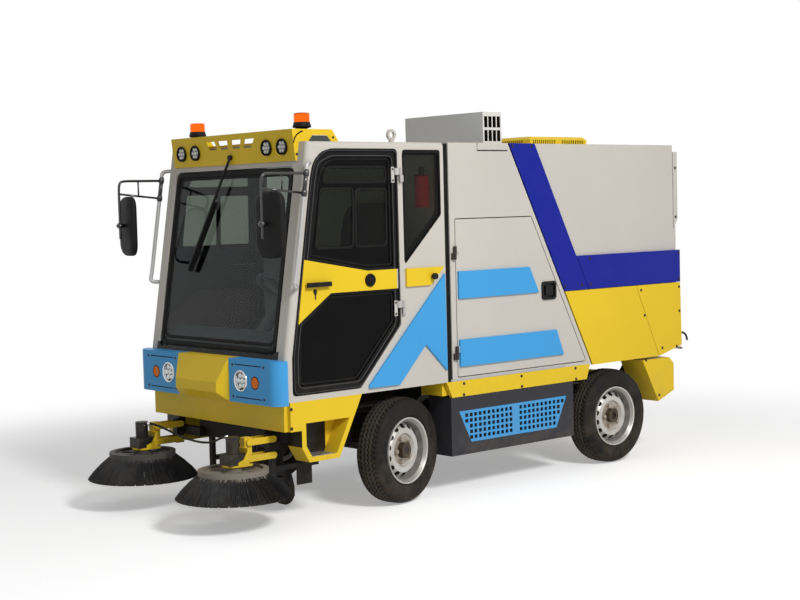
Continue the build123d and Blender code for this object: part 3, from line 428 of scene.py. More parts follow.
def lathe(centre, axis, profile, segments=48):
    axis, side, lift = axisFrame(axis)
    centre = Vector(centre)
    verts = []
    for c, s in circle(segments):
        out = side * c + lift * s
        verts.extend(centre + axis * along + out * radius for along, radius in profile)
    count = len(profile)
    faces = gridFaces(segments, count, wrap=False)
    for row in (0, count - 1):
        if profile[row][1] > 1e-6:
            faces.append(tuple(k * count + row for k in range(segments)))
    return verts, faces


def domeShape(radius, height, segments=20, rows=5):
    profile = [(height * math.sin(math.pi / 2 * j / rows), radius * math.cos(math.pi / 2 * j / rows))
               for j in range(rows + 1)]
    profile[-1] = (height, 1e-4)
    return lathe((0, 0, 0), up, profile, segments)


def ringBands(loops):
    count = len(loops[0])
    verts = [point for loop in loops for point in loop]
    faces = []
    for j in range(len(loops) - 1):
        here, there = j * count, (j + 1) * count
        faces.extend((here + k, here + (k + 1) % count, there + (k + 1) % count, there + k)
                     for k in range(count))
    return verts, faces


def closedBands(loops):
    verts, faces = ringBands(loops)
    count = len(loops[0])
    faces.append(tuple(range(count)))
    faces.append(tuple(range(len(verts) - count, len(verts))))
    return verts, faces


def brick(low, high):
    corners = [Vector((x, y, z)) for x in (low[0], high[0]) for y in (low[1], high[1])
               for z in (low[2], high[2])]
    return corners, [(0, 1, 3, 2), (4, 6, 7, 5), (0, 4, 5, 1), (2, 3, 7, 6), (0, 2, 6, 4), (1, 5, 7, 3)]


def sideBrick(sign, x, y, z):
    low, high = sorted((sign * y[0], sign * y[1]))
    return brick((x[0], low, z[0]), (x[1], high, z[1]))


def roundLoop(points, radius, steps=6):
    loop = []
    count = len(points)
    for k, point in enumerate(points):
        point = Vector(point)
        before = Vector(points[k - 1]) - point
        after = Vector(points[(k + 1) % count]) - point
        reach = min(radius, before.length * 0.45, after.length * 0.45)
        first, last = point + before.normalized() * reach, point + after.normalized() * reach
        for s in range(steps + 1):
            t = s / steps
            loop.append(first * (1 - t) ** 2 + point * 2 * t * (1 - t) + last * t * t)
    return loop


def bead(loop, normal, half, height, lift=0.0):
    normal = Vector(normal).normalized()
    count = len(loop)
    section = [(-half, 0.0), (-half * 0.7, height * 0.8), (0.0, height), (half * 0.7, height * 0.8),
               (half, 0.0)]
    verts = []
    for k, point in enumerate(loop):
        along = (loop[(k + 1) % count] - loop[k - 1]).normalized()
        across = normal.cross(along).normalized()
        verts.extend(point + across * a + normal * (h + lift) for a, h in section)
    return verts, gridFaces(count, len(section))


def smoothPath(points, name):
    curve = bpy.data.curves.new(name, "CURVE")
    curve.dimensions = "3D"
    spline = curve.splines.new("NURBS")
    spline.points.add(len(points) - 1)
    for k, point in enumerate(points):
        spline.points[k].co = (*point, 1.0)
    spline.order_u = 3
    spline.use_endpoint_u = True
    spline.resolution_u = 8
    return [vert.co.copy() for vert in evaluated(bpy.data.objects.new(name, curve)).vertices]


def hoseShape(path, radius, segments=10):
    loops = []
    for k, point in enumerate(path):
        ahead = (path[min(k + 1, len(path) - 1)] - path[max(k - 1, 0)]).normalized()
        side = ahead.cross(Vector((0.0, 0.02, 1.0))).normalized()
        lift = side.cross(ahead)
        loops.append([point + (side * c + lift * s) * radius for c, s in circle(segments)])
    return closedBands(loops)


# Repeats by geometry nodes: one small mesh on every marked point
def buildRepeatTree():
    tree = bpy.data.node_groups.new("repeatOnPoints", "GeometryNodeTree")
    for label, kind in (("Geometry", "Geometry"), ("Unit", "Object"), ("Finish", "Material")):
        tree.interface.new_socket(label, in_out="INPUT", socket_type="NodeSocket" + kind)
    tree.interface.new_socket("Geometry", in_out="OUTPUT", socket_type="NodeSocketGeometry")
    given = tree.nodes.new("NodeGroupInput").outputs
    unit = addNode(tree, "GeometryNodeObjectInfo", {"Object": given["Unit"]})
    turn, size = [addNode(tree, "GeometryNodeInputNamedAttribute", {"Name": label}, data_type="FLOAT_VECTOR")
                  for label in ("turn", "size")]
    place = addNode(tree, "GeometryNodeInstanceOnPoints", {
        "Points": given["Geometry"], "Instance": unit.outputs["Geometry"],
        "Rotation": turn.outputs["Attribute"], "Scale": size.outputs["Attribute"]})
    real = addNode(tree, "GeometryNodeRealizeInstances", {"Geometry": place.outputs["Instances"]})
    finish = addNode(tree, "GeometryNodeSetMaterial", {"Geometry": real.outputs["Geometry"],
                                                       "Material": given["Finish"]})
    addNode(tree, "NodeGroupOutput", {"Geometry": finish.outputs["Geometry"]})
    return tree


repeatTree = buildRepeatTree()


def repeat(name, unitShape, marks, look, body="chassis", smooth=True):
    unitMesh = bpy.data.meshes.new(name + "Unit")
    unitMesh.from_pydata([tuple(v) for v in unitShape[0]], [], unitShape[1])
    unitMesh.polygons.foreach_set("use_smooth", [smooth] * len(unitMesh.polygons))
    unit = bpy.data.objects.new(name + "Unit", unitMesh)
    points = bpy.data.meshes.new(name + "Points")
    points.from_pydata([tuple(place) for place, _, _ in marks], [], [])
    turns = points.attributes.new("turn", "FLOAT_VECTOR", "POINT")
    sizes = points.attributes.new("size", "FLOAT_VECTOR", "POINT")
    for k, (_, aim, size) in enumerate(marks):
        turn = aim if isinstance(aim, Matrix) else Vector(aim).to_track_quat("Z", "Y")
        turns.data[k].vector = turn.to_euler()
        sizes.data[k].vector = size
    holder = bpy.data.objects.new(name + "Points", points)
    modifier = holder.modifiers.new("repeat", "NODES")
    modifier.node_group = repeatTree
    values = {"Unit": unit, "Finish": looks[look]}
    for item in repeatTree.interface.items_tree:
        if item.name in values:
            modifier[item.identifier] = values[item.name]
    made = evaluated(holder)
    made.name = name
    bpy.data.objects.remove(unit)
    return hang(bpy.data.objects.new(name, made), body)


# Road tyres: ribs, zigzag grooves and shoulder sipes on the solid's own outline
tyreSet = {
    "radius": 0.311, "grooves": (-0.040, -0.0135, 0.0135, 0.040), "grooveHalf": 0.0044,
    "grooveDepth": 0.0095, "grooveFloor": 0.7, "steps": 256, "sipeEvery": 4, "sipeDepth": 0.0075,
    "zigzag": 0.0068, "treadHalf": 0.064, "edgeDepth": 0.0035, "crown": 0.0035, "sunk": 0.0008,
    "sidewall": ((0.0600, 0.1790), (0.0630, 0.1900), (0.0700, 0.1985), (0.0760, 0.2060),
        (0.0770, 0.2075), (0.0815, 0.2200), (0.0830, 0.2360), (0.0828, 0.2500), (0.0815, 0.2660),
        (0.0808, 0.2670), (0.0800, 0.2800), (0.0770, 0.2900), (0.0715, 0.2985)),
}
drumSet = {
    "profile": ((-0.060, 0.050), (-0.060, 0.146), (-0.052, 0.152), (-0.012, 0.153), (-0.006, 0.148),
        (-0.004, 0.110), (-0.002, 0.060), (-0.002, 0.050)),
    "vents": 14, "ventRing": 0.1385, "ventOut": 0.0392, "ventSunk": 0.0006, "ventSize": (1.45, 1, 1),
    "slope": (0.676, 0.737), "vent": ((0.0, 0.0118), (0.0016, 0.0112), (0.0016, 0.0)),
}


def treadColumns():
    edge, half, depth = tyreSet["treadHalf"], tyreSet["grooveHalf"], tyreSet["grooveDepth"]
    floor = half * tyreSet["grooveFloor"]
    columns = [(-edge, tyreSet["edgeDepth"])]
    for centre in tyreSet["grooves"]:
        columns.extend(((centre - half, 0.0), (centre - floor, depth), (centre + floor, depth),
                        (centre + half, 0.0)))
    return columns + [(edge, tyreSet["edgeDepth"])]


def buildTyre(key, centre, axle):
    axis, side, lift = axisFrame(axle)
    columns = treadColumns()
    last = len(columns) - 1
    verts = []
    for k, (c, s) in enumerate(circle(tyreSet["steps"])):
        out = side * c + lift * s
        wave = tyreSet["zigzag"] * (abs((k % 4) - 2) - 1)  # one zigzag in four steps
        ring = [(-w, r) for w, r in tyreSet["sidewall"]]
        for j, (w, depth) in enumerate(columns):
            sipe = j in (0, 1, last - 1, last) and k % tyreSet["sipeEvery"] == 0
            cut = max(depth, tyreSet["sipeDepth"] if sipe else 0.0)
            crown = tyreSet["crown"] * (w / tyreSet["treadHalf"]) ** 2
            ring.append((w if j in (0, last) else w + wave,
                         tyreSet["radius"] - tyreSet["sunk"] - crown - cut))
        ring.extend(reversed(tyreSet["sidewall"]))
        verts.extend(centre + axis * w + out * r for w, r in ring)
    meshPiece("tyreTread_" + key, [(verts, gridFaces(tyreSet["steps"], len(ring)))], "tyre_" + key,
              "wheel_" + key, nodesReplaced=("tyre_" + key,))


def buildDrum(key, centre, axle):
    meshPiece("brakeDrum_" + key, [lathe(centre, axle, drumSet["profile"])], "drumIron", "wheel_" + key)
    vents = []
    for c, s in circle(drumSet["vents"]):
        out = up * c + axle.cross(up) * s
        slope = out * drumSet["slope"][0] + axle * drumSet["slope"][1]
        along = axle.cross(out)
        aim = Matrix((along, slope.cross(along), slope)).transposed()
        place = centre + out * drumSet["ventRing"] + axle * drumSet["ventOut"] - slope * drumSet["ventSunk"]
        vents.append((place, aim, drumSet["ventSize"]))
    repeat("rimVents_" + key, lathe((0, 0, 0), up, drumSet["vent"], 20), vents, "ventShade", "wheel_" + key,
           smooth=False)


for key, (middle, axle) in axles.items():
    buildTyre(key, middle, axle)
    buildDrum(key, middle, axle)
print("tyres")

# Brush strands over the tufted skirt of each brush
brushSet = {
    "strands": 2200, "seed": 7, "rootRadius": 0.192, "rootZ": 0.301, "tipRadius": 0.320, "tipZ": 0.176,
    "thickness": 0.0014, "turnShake": 0.4, "layer": (-0.012, 0.003), "twist": 0.035, "fan": 1.4,
    "tipShake": (-0.008, 0.003), "tipLift": (0.0, 0.007), "thickShake": (0.8, 1.25), "bow": 90,
    "rows": ((0.0, 0.0, 1.0), (0.35, 0.035, 1.0), (0.7, 0.03, 0.9), (1.0, -0.01, 0.6)),
}


def strandShape():
    loops = [[(c * scale, s * scale + bow * brushSet["bow"], along) for c, s in circle(3)]
             for along, bow, scale in brushSet["rows"]]
    verts, faces = ringBands(loops)
    return verts, faces + [(0, 2, 1), (9, 10, 11)]


def buildBristles(side):
    middle = boxMiddle("brush_" + side)
    luck = random.Random(brushSet["seed"])
    marks = []
    for k in range(brushSet["strands"]):
        shake = luck.uniform(-brushSet["turnShake"], brushSet["turnShake"])
        turn = 2 * math.pi * (k + shake) / brushSet["strands"]
        layer = luck.uniform(*brushSet["layer"])
        twist = turn + luck.uniform(-brushSet["twist"], brushSet["twist"])
        inner = brushSet["rootRadius"] + layer
        root = Vector((middle.x + inner * math.cos(turn), middle.y + inner * math.sin(turn),
                       brushSet["rootZ"]))
        spread = brushSet["tipRadius"] + layer * brushSet["fan"] + luck.uniform(*brushSet["tipShake"])
        tip = Vector((middle.x + spread * math.cos(twist), middle.y + spread * math.sin(twist),
                      brushSet["tipZ"] + luck.uniform(*brushSet["tipLift"])))
        thick = brushSet["thickness"] * luck.uniform(*brushSet["thickShake"])
        marks.append((root, tip - root, (thick, thick, (tip - root).length)))
    repeat("bristles_" + side, strandShape(), marks, "bristle", "brush_" + side, smooth=False)


for side, _ in sides:
    buildBristles(side)
print("bristles")

# Lamps: headlamps, indicators, work lamps on the bar, beacons and tail lamps
lampSet = {
    "bandX": 1.562, "headY": 0.367, "headZ": 0.790, "headRadius": 0.0605, "turnY": 0.502, "turnZ": 0.787,
    "turnRadius": 0.0365, "barX": 1.3255, "barY": (0.357, 0.502), "barZ": 2.081, "barRadius": 0.045,
    "ledRing": 6, "ledShare": 0.55, "headLed": (0.0150, 0.008), "headLedX": -0.011,
    "barLed": (0.0112, 0.006), "barLedX": 0.004,
}
beaconSet = {
    "place": (1.199, 0.519, 2.105), "ribs": 10, "ribFoot": 0.111, "ribPitch": 0.0046, "ribOut": 0.0455,
    "ribIn": 0.0442, "cap": ((0.159, 0.0440), (0.163, 0.040), (0.1645, 0.030), (0.1648, 0.0)),
    "foot": ((0.0, 0.026), (0.074, 0.026), (0.080, 0.040), (0.082, 0.0515), (0.094, 0.052),
        (0.098, 0.049), (0.108, 0.0475), (0.112, 0.046), (0.112, 0.0)),
}
tailSet = {
    "place": (-1.846, 0.58, 0.54),
    "lenses": (("red", "redLens", -0.045), ("amber", "amber", 0.0), ("clearLens", "clearLens", 0.045)),
    "lensHalf": 0.021, "front": 0.0155, "back": 0.004, "ribs": 5, "ribFoot": 0.036, "ribPitch": 0.0148,
    "ribHeight": 0.0140, "ribStep": 0.0006, "baseDepth": 0.0120, "baseHalf": (0.07, 0.04),
}
barLensSet = {
    "y": (0.598, 0.6025),
    "outline": ((1.2225, 2.1062), (1.1935, 2.1405), (1.0915, 2.1405), (1.0625, 2.1062)),
}


def ledMarks(centre, radius):
    ring = [centre + Vector((0, c, s)) * radius for c, s in circle(lampSet["ledRing"])]
    return [(place, forward, (1, 1, 1)) for place in [centre] + ring]


def buildLamps():
    dishes, rings, lenses, ambers, turns, blacks, leds, barLeds = ([] for _ in range(8))
    for sign in (1, -1):
        head = Vector((lampSet["bandX"], sign * lampSet["headY"], lampSet["headZ"]))
        size = lampSet["headRadius"]
        rings.append(lathe(head, forward, ((-0.02, size), (0.003, size), (0.0055, size - 0.003),
                                           (0.0055, size - 0.007), (0.0, size - 0.010),
                                           (-0.012, size - 0.012)), 56))
        dishes.append(lathe(head, forward, ((-0.02, 0.0), (-0.012, 0.015), (-0.008, size - 0.013),
                                            (-0.014, size - 0.011)), 56))
        lenses.append(lathe(head, forward, ((0.0038, 0.0), (0.0033, size * 0.35), (0.0018, size * 0.7),
                                            (-0.0012, size - 0.0105), (0.0, size - 0.0105),
                                            (0.003, size * 0.7), (0.0045, size * 0.35), (0.005, 0.0)), 56))
        leds.extend(ledMarks(head + forward * lampSet["headLedX"], size * lampSet["ledShare"]))
        turn = Vector((lampSet["bandX"], sign * lampSet["turnY"], lampSet["turnZ"]))
        size = lampSet["turnRadius"]
        blacks.append(lathe(turn, forward, ((-0.02, size), (0.001, size), (0.002, size - 0.002),
                                            (-0.002, size - 0.004), (-0.02, size - 0.004)), 40))
        turns.append(lathe(turn, forward, ((-0.004, size - 0.004), (0.001, size - 0.005),
                                           (0.003, size * 0.75), (0.0022, size * 0.72), (0.0046, size * 0.4),
                                           (0.0038, size * 0.37), (0.005, 0.0)), 40))
        x, y, z = beaconSet["place"]
        beacon = Vector((x, sign * y, z))
        blacks.append(lathe(beacon, up, beaconSet["foot"]))
        ribs = []
        for k in range(beaconSet["ribs"]):
            foot = beaconSet["ribFoot"] + beaconSet["ribPitch"] * k
            ribs.extend(((foot, beaconSet["ribOut"]), (foot + beaconSet["ribPitch"] / 2, beaconSet["ribIn"])))
        ambers.append(lathe(beacon, up, tuple(ribs) + beaconSet["cap"], 56))
        size = lampSet["barRadius"]
        for y in lampSet["barY"]:
            work = Vector((lampSet["barX"], sign * y, lampSet["barZ"]))
            blacks.append(lathe(work, forward, ((-0.021, size), (0.012, size), (0.0145, size - 0.0015),
                                                (0.0145, size - 0.0035), (0.009, size - 0.0045),
                                                (-0.01, size - 0.0055)), 44))
            dishes.append(lathe(work, forward,
                                ((0.003, 0.0), (0.005, size - 0.0065), (-0.004, size - 0.0052)), 44))
            barLeds.extend(ledMarks(work + forward * lampSet["barLedX"], size * lampSet["ledShare"]))
    meshPiece("lampRings", rings, "chrome", nodesReplaced=("lamps",))
    meshPiece("lampDishes", dishes, "reflector")
    meshPiece("lampLenses", lenses, "clearLens")
    meshPiece("amberLenses", ambers, "amber")
    meshPiece("turnLenses", turns, "turnAmber")
    meshPiece("lampHousings", blacks, "plastic")
    repeat("headLeds", domeShape(*lampSet["headLed"]), leds, "ledBulb")
    repeat("barLeds", domeShape(*lampSet["barLed"]), barLeds, "ledBulb")


def buildTailLamps():
    x, y, z = tailSet["place"]
    for colour, look, offset in tailSet["lenses"]:
        across = (y + offset - tailSet["lensHalf"], y + offset + tailSet["lensHalf"])
        shapes = []
        for sign in (1, -1):
            for k in range(tailSet["ribs"]):
                low = z - tailSet["ribFoot"] + tailSet["ribPitch"] * k
                depth = (x - tailSet["front"] - tailSet["ribStep"] * (k % 2), x - tailSet["back"])
                shapes.append(sideBrick(sign, depth, across, (low, low + tailSet["ribHeight"])))
        meshPiece("tailLens_" + colour, shapes, look, smooth=False)
    wide, tall = tailSet["baseHalf"]
    bases = [sideBrick(sign, (x - tailSet["baseDepth"], x), (y - wide, y + wide), (z - tall, z + tall))
             for sign in (1, -1)]
    meshPiece("tailBases", bases, "plastic", smooth=False)


def buildBarLenses():
    shapes = [closedBands([[Vector((x, sign * y, z)) for x, z in barLensSet["outline"]]
                           for y in barLensSet["y"]])
              for sign in (1, -1)]
    meshPiece("barLenses", shapes, "barLens", smooth=False)


buildLamps()
buildTailLamps()
buildBarLenses()
print("lamps")

# Rubber round the glass and the doors, with thin grey beads on the doors painted as highlights along their
# seals
# Each screen bead: inset at side, foot and top, half width, height and lift
sealSet = {
    "footX": 1.483, "footZ": 0.9126, "sunk": -0.0095, "half": 0.588, "low": 0.930, "top": 1.970,
    "corner": 0.05,
    "beads": ((0.017, 0.026, 0.020, 0.017, 0.008, 0.0), (0.040, 0.062, 0.040, 0.010, 0.0012, 0.0004)),
}
outlines = {
    "edge": ((1.428, 0.724), (0.960, 0.724), (0.652, 1.056), (0.652, 2.054), (1.150, 2.054), (1.200, 2.036),
             (1.250, 1.985), (1.2735, 1.900), (1.428, 0.926)),
    "inset": ((1.398, 0.752), (0.960, 0.752), (0.682, 1.056), (0.682, 2.026), (1.120, 2.026), (1.170, 2.008),
              (1.220, 1.985), (1.2435, 1.900), (1.398, 0.926)),
    "pane": ((1.290, 1.478), (0.884, 1.402), (0.700, 1.402), (0.700, 2.006), (1.110, 2.006), (1.155, 1.990),
             (1.195, 1.950), (1.214, 1.890)),
    "lowPane": ((1.380, 0.772), (0.983, 0.772), (0.700, 1.076), (0.700, 1.240), (1.162, 1.240),
                (1.375, 1.085)),
    "slideFront": ((1.198, 1.842), (0.966, 1.842), (0.978, 1.512), (1.246, 1.512)),
    "slideRear": ((0.950, 1.836), (0.722, 1.836), (0.728, 1.514), (0.960, 1.514)),
    "slideTop": ((1.150, 1.962), (0.722, 1.962), (0.722, 1.876), (1.185, 1.876)),
    "quarterPane": ((0.596, 2.042), (0.321, 2.042), (0.314, 1.684), (0.596, 1.412)),
    "quarterRim": ((0.601, 2.061), (0.307, 2.061), (0.307, 1.680), (0.599, 1.398)),
    "quarterSight": ((0.578, 2.030), (0.340, 2.030), (0.344, 1.700), (0.578, 1.462)),
}
# Each door bead: outline, distance off the centre line, corner, half width and height
doorBeads = {
    # the first entry's grey beads are painted highlights along the door seals
    "sealEdges_": ("sealHighlight",
                   (("inset", 0.6797, 0.04, 0.0028, 0.004), ("edge", 0.6875, 0.03, 0.0018, 0.0016))),
    "doorRubber_": ("rubber", (("edge", 0.679, 0.03, 0.0075, 0.009), ("pane", 0.6685, 0.02, 0.009, 0.007),
                               ("lowPane", 0.6685, 0.02, 0.009, 0.007))),
    "slidingFrames_": ("plastic", [(name, 0.6685, 0.025, 0.0085, 0.005)
                                   for name in ("slideFront", "slideRear", "slideTop")]),
}
quarterRings = (("quarterRim", 0.6815, 0.018), ("quarterPane", 0.6815, 0.018), ("quarterPane", 0.6695, 0.018),
                ("quarterSight", 0.6695, 0.03))


def screenPoint(y, z, proud):
    x = sealSet["footX"] - screenSlope * (z - sealSet["footZ"])
    return Vector((x + proud, y, z + proud * screenSlope))


def buildScreenRubber():
    shapes = []
    for inset, foot, head, half, height, lift in sealSet["beads"]:
        y, low, top = sealSet["half"] - inset, sealSet["low"] + foot, sealSet["top"] - head
        corners = [screenPoint(a, b, sealSet["sunk"]) for a, b in ((-y, low), (y, low), (y, top), (-y, top))]
        shapes.append(bead(roundLoop(corners, sealSet["corner"]), (1, 0, screenSlope), half, height, lift))
    meshPiece("screenRubber", shapes, "rubber")


def sideLoop(outline, sign, y, radius):
    return roundLoop([(x, sign * y, z) for x, z in outlines[outline]], radius)


def buildDoorRubber(side, sign):
    for name, (look, beads) in doorBeads.items():
        shapes = [bead(sideLoop(outline, sign, y, radius), (0, sign, 0), half, height)
                  for outline, y, radius, half, height in beads]
        meshPiece(name + side, shapes, look, "door_" + side)
    loops = [sideLoop(outline, sign, y, radius) for outline, y, radius in quarterRings]
    meshPiece("quarterRubber_" + side, [ringBands(loops)], "rubber", smooth=False)


buildScreenRubber()
for side, sign in sides:
    buildDoorRubber(side, sign)
print("rubber seals")

# Screws on the panels, both sides
screwSet = {
    "head": 0.0095, "height": 0.0045, "small": (0.8, 0.8, 0.8), "barY": 0.605,
    "bandPlaces": ((0.292, 0.878), (0.292, 0.700), (0.585, 0.878), (0.585, 0.700)),
    "barPlaces": ((1.047, 2.130), (1.307, 2.036)),
}
screwPlaces = {  # body: plane distance from the centre line, then X and Z of each screw
    "hopper": (0.680, ((-0.309, 2.088), (-0.473, 2.089), (-0.761, 1.199), (-0.920, 1.199), (-1.001, 1.366),
                       (-1.004, 1.199), (-1.915, 1.366), (-1.917, 1.190), (-1.511, 1.131), (-1.544, 0.959),
                       (-1.915, 1.133), (-1.915, 0.966), (-1.726, 0.724), (-1.883, 0.724))),
    "chassis": (0.680, ((0.150, 0.661), (-0.345, 0.660), (-0.844, 0.664), (0.152, 0.594), (-0.348, 0.595),
                        (-0.848, 0.594), (1.453, 0.644), (1.454, 0.538), (-1.552, 0.655), (-1.685, 0.404))),
    "tailgate": (0.660, ((-1.914, 1.950), (-1.914, 1.615))),
}


def screwShape():
    head, height = screwSet["head"], screwSet["height"]
    return lathe((0, 0, 0), up, ((0.0, head), (height * 0.5, head), (height * 0.9, head * 0.75),
                                 (height, head * 0.5),
                                 (height * 0.4, head * 0.45), (height * 0.4, 0.0)), 12)


def sideMarks(places, y, size):
    return [((x, sign * y, z), (0, sign, 0), size) for x, z in places for sign in (1, -1)]


for body, (plane, places) in screwPlaces.items():
    marks = sideMarks(places, plane, (1, 1, 1))
    if body == "chassis":
        marks.extend(((lampSet["bandX"], sign * y, z), forward, screwSet["small"])
                     for y, z in screwSet["bandPlaces"] for sign in (1, -1))
        marks.extend(sideMarks(screwSet["barPlaces"], screwSet["barY"], screwSet["small"]))
    repeat("screws_" + body, screwShape(), marks, "darkSteel", body)
print("screws")

# Motor cable between the brush heads, with its fittings
cableSet = {
    "radius": 0.0065,
    "points": ((1.699, -0.440, 0.480), (1.690, -0.400, 0.500), (1.672, -0.300, 0.486),
        (1.640, -0.160, 0.440), (1.630, 0.020, 0.420), (1.640, 0.180, 0.434), (1.668, 0.310, 0.478),
        (1.688, 0.400, 0.496), (1.699, 0.440, 0.480)),
    "nut": (1.699, 0.440, 0.4765), "collar": (1.690, 0.400, 0.4945), "collarAim": (-0.15, -1.0, -0.06),
    "nutProfile": ((0.0, 0.012), (0.008, 0.012), (0.010, 0.009), (0.022, 0.009), (0.024, 0.0)),
    "collarProfile": ((-0.012, 0.0072), (-0.010, 0.0092), (0.010, 0.0092), (0.012, 0.0072)),
}


def mirrored(point, sign):
    return Vector((point[0], sign * point[1], point[2]))


def buildMotorCable():
    path = smoothPath(cableSet["points"], "motorCablePath")
    meshPiece("motorCable", [hoseShape(path, cableSet["radius"])], "rubber", "brush_head")
    fittings = []
    for sign in (1, -1):
        fittings.append(lathe(mirrored(cableSet["nut"], sign), up, cableSet["nutProfile"], 16))
        fittings.append(lathe(mirrored(cableSet["collar"], sign), mirrored(cableSet["collarAim"], sign),
                              cableSet["collarProfile"], 16))
    meshPiece("cableFittings", fittings, "chrome", "brush_head")


# Dark inlays: holes beside the mesh panels, slots in the light bar's sides and the shadow line under the roof
# strip, all painted shade, and slits on the lamp panels
holeSet = {
    "low": 0.330, "pitch": 0.0342, "half": (0.012, 0.011), "y": (0.6755, 0.6763),
    "columns": ((0.092, (0, 1, 2, 3, 4)), (0.130, (3, 4)), (-0.680, (2, 3, 4)), (-0.718, (4,))),
}
barSlotSet = {
    "line": ((1.326, 2.099), (1.3195, 2.1226), (1.303, 2.1435), (1.2825, 2.156), (1.2605, 2.163)),
    "half": 0.0042, "y": (0.6048, 0.6056), "stripShadowX": (-0.259, 0.0), "stripShadowY": (0.6802, 0.6845),
    "stripShadowZ": (2.0575, 2.0626),
}
panelSlotSet = {"x": (1.5605, 1.5625), "y": (0.315, 0.560), "z": (0.880, 0.698), "half": 0.003}
sillSet = {"x": (-0.742, 0.258), "y": (0.6802, 0.6825), "z": (0.6815, 0.6935)}
barFoot = {"front": 1.250, "depth": 0.030, "half": 0.350, "wall": 0.003, "height": 0.0145}


def buildMeshHoles():
    wide, tall = holeSet["half"]
    shapes = []
    for x, rows in holeSet["columns"]:
        for row in rows:
            z = holeSet["low"] + holeSet["pitch"] * row
            shapes.extend(sideBrick(sign, (x - wide, x + wide), holeSet["y"], (z - tall, z + tall))
                          for sign in (1, -1))
    meshPiece("meshHoles", shapes, "ventShade", smooth=False)


def buildBarSlots():
    line = barSlotSet["line"]
    inner, outer = barSlotSet["y"]
    shapes = []
    for sign in (1, -1):
        loops = []
        for k, (x, z) in enumerate(line):
            before, after = line[max(k - 1, 0)], line[min(k + 1, len(line) - 1)]
            along = Vector((after[0] - before[0], 0, after[1] - before[1])).normalized()
            across = Vector((along.z, 0, -along.x)) * barSlotSet["half"]
            loops.append([Vector((x, sign * y, z)) + across * way
                          for y, way in ((inner, 1), (inner, -1), (outer, -1), (outer, 1))])
        shapes.append(closedBands(loops))
    # painted shadow under the roof strip
    shapes.extend(sideBrick(sign, barSlotSet["stripShadowX"], barSlotSet["stripShadowY"], barSlotSet["stripShadowZ"])
                  for sign in (1, -1))
    meshPiece("barSlots", shapes, "ventShade", smooth=False)


def buildBarFoot():
    front, half, wall = barFoot["front"], barFoot["half"], barFoot["wall"]
    floor = beaconSet["place"][2]
    shapes = [brick((front - wall, -half, floor), (front, half, floor + barFoot["height"])),
              brick((front - barFoot["depth"], -half, floor), (front - wall, half, floor + wall))]
    meshPiece("barFoot", shapes, "yellow", smooth=False)


def buildSillStrips():
    shapes = [sideBrick(sign, sillSet["x"], sillSet["y"], sillSet["z"]) for sign in (1, -1)]
    meshPiece("sillStrips", shapes, "alloy", smooth=False)


def buildPanelSlots():
    half = panelSlotSet["half"]
    shapes = [sideBrick(sign, panelSlotSet["x"], panelSlotSet["y"], (z - half, z + half))
              for sign in (1, -1) for z in panelSlotSet["z"]]
    meshPiece("panelSlots", shapes, "rubber", smooth=False)


# Tailgate: latch plates with bent levers, and the lip under it
gateSet = {
    "plateX": (-1.9435, -1.9355), "plateY": (0.560, 0.645), "plateZ": (0.778, 0.826), "leverRadius": 0.0075,
    "lever": ((-1.942, 0.612, 0.802), (-1.965, 0.630, 0.808), (-1.985, 0.652, 0.812),
        (-1.996, 0.668, 0.798), (-2.000, 0.676, 0.772), (-2.000, 0.678, 0.756)),
    "lip": ((-1.900, 0.7235), (-1.950, 0.7225), (-1.978, 0.717), (-1.992, 0.707), (-1.996, 0.696)),
    "lipHalf": 0.640, "lipWall": 0.003, "lipLean": 0.3,
}


def buildGateLatch():
    shapes = []
    for sign in (1, -1):
        shapes.append(sideBrick(sign, gateSet["plateX"], gateSet["plateY"], gateSet["plateZ"]))
        lever = smoothPath([mirrored(point, sign) for point in gateSet["lever"]], "leverPath")
        shapes.append(hoseShape(lever, gateSet["leverRadius"]))
    meshPiece("gateLatch", shapes, "darkSteel", "tailgate", smooth=False)
    half, wall = gateSet["lipHalf"], gateSet["lipWall"]
    loops = [[Vector((x - drop * gateSet["lipLean"], y, z - drop))
              for y, drop in ((-half, 0.0), (half, 0.0), (half, wall), (-half, wall))]
             for x, z in gateSet["lip"]]
    meshPiece("gateLip", [closedBands(loops)], "chrome", "hopper", smooth=False)


# Cab doors: lock with its key, hinge plates and the round rosette on the band
lockSet = {
    "place": (1.2715, 0.6855, 1.2785),
    "profile": ((-0.004, 0.0125), (0.005, 0.0125), (0.007, 0.0105), (0.007, 0.0)),
    "bow": ((0.0, 0.0095), (0.002, 0.0095), (0.002, 0.0)), "bowDrop": 0.008, "keyOut": (0.0065, 0.0085),
    "bladeHalf": 0.0028, "bladeDrop": (0.044, 0.012),
}
hingeSet = {
    "x": (0.6680, 0.6905), "y": (0.6803, 0.6838), "z": ((1.872, 1.962), (1.104, 1.194)), "screwX": 0.679,
    "screwShares": (0.14, 0.86), "screwSize": (0.7, 0.7, 0.5),
}
rosetteSet = {
    "place": (0.875, 0.696, 1.322), "nubs": 10, "nubRing": 0.0222, "nub": (0.0052, 0.0040),
    "profile": ((-0.004, 0.0362), (0.0025, 0.0358), (0.004, 0.0335), (0.004, 0.0310), (0.0012, 0.0295),
        (0.0012, 0.0150), (0.0045, 0.0135), (0.0055, 0.0080), (0.0060, 0.0)),
}


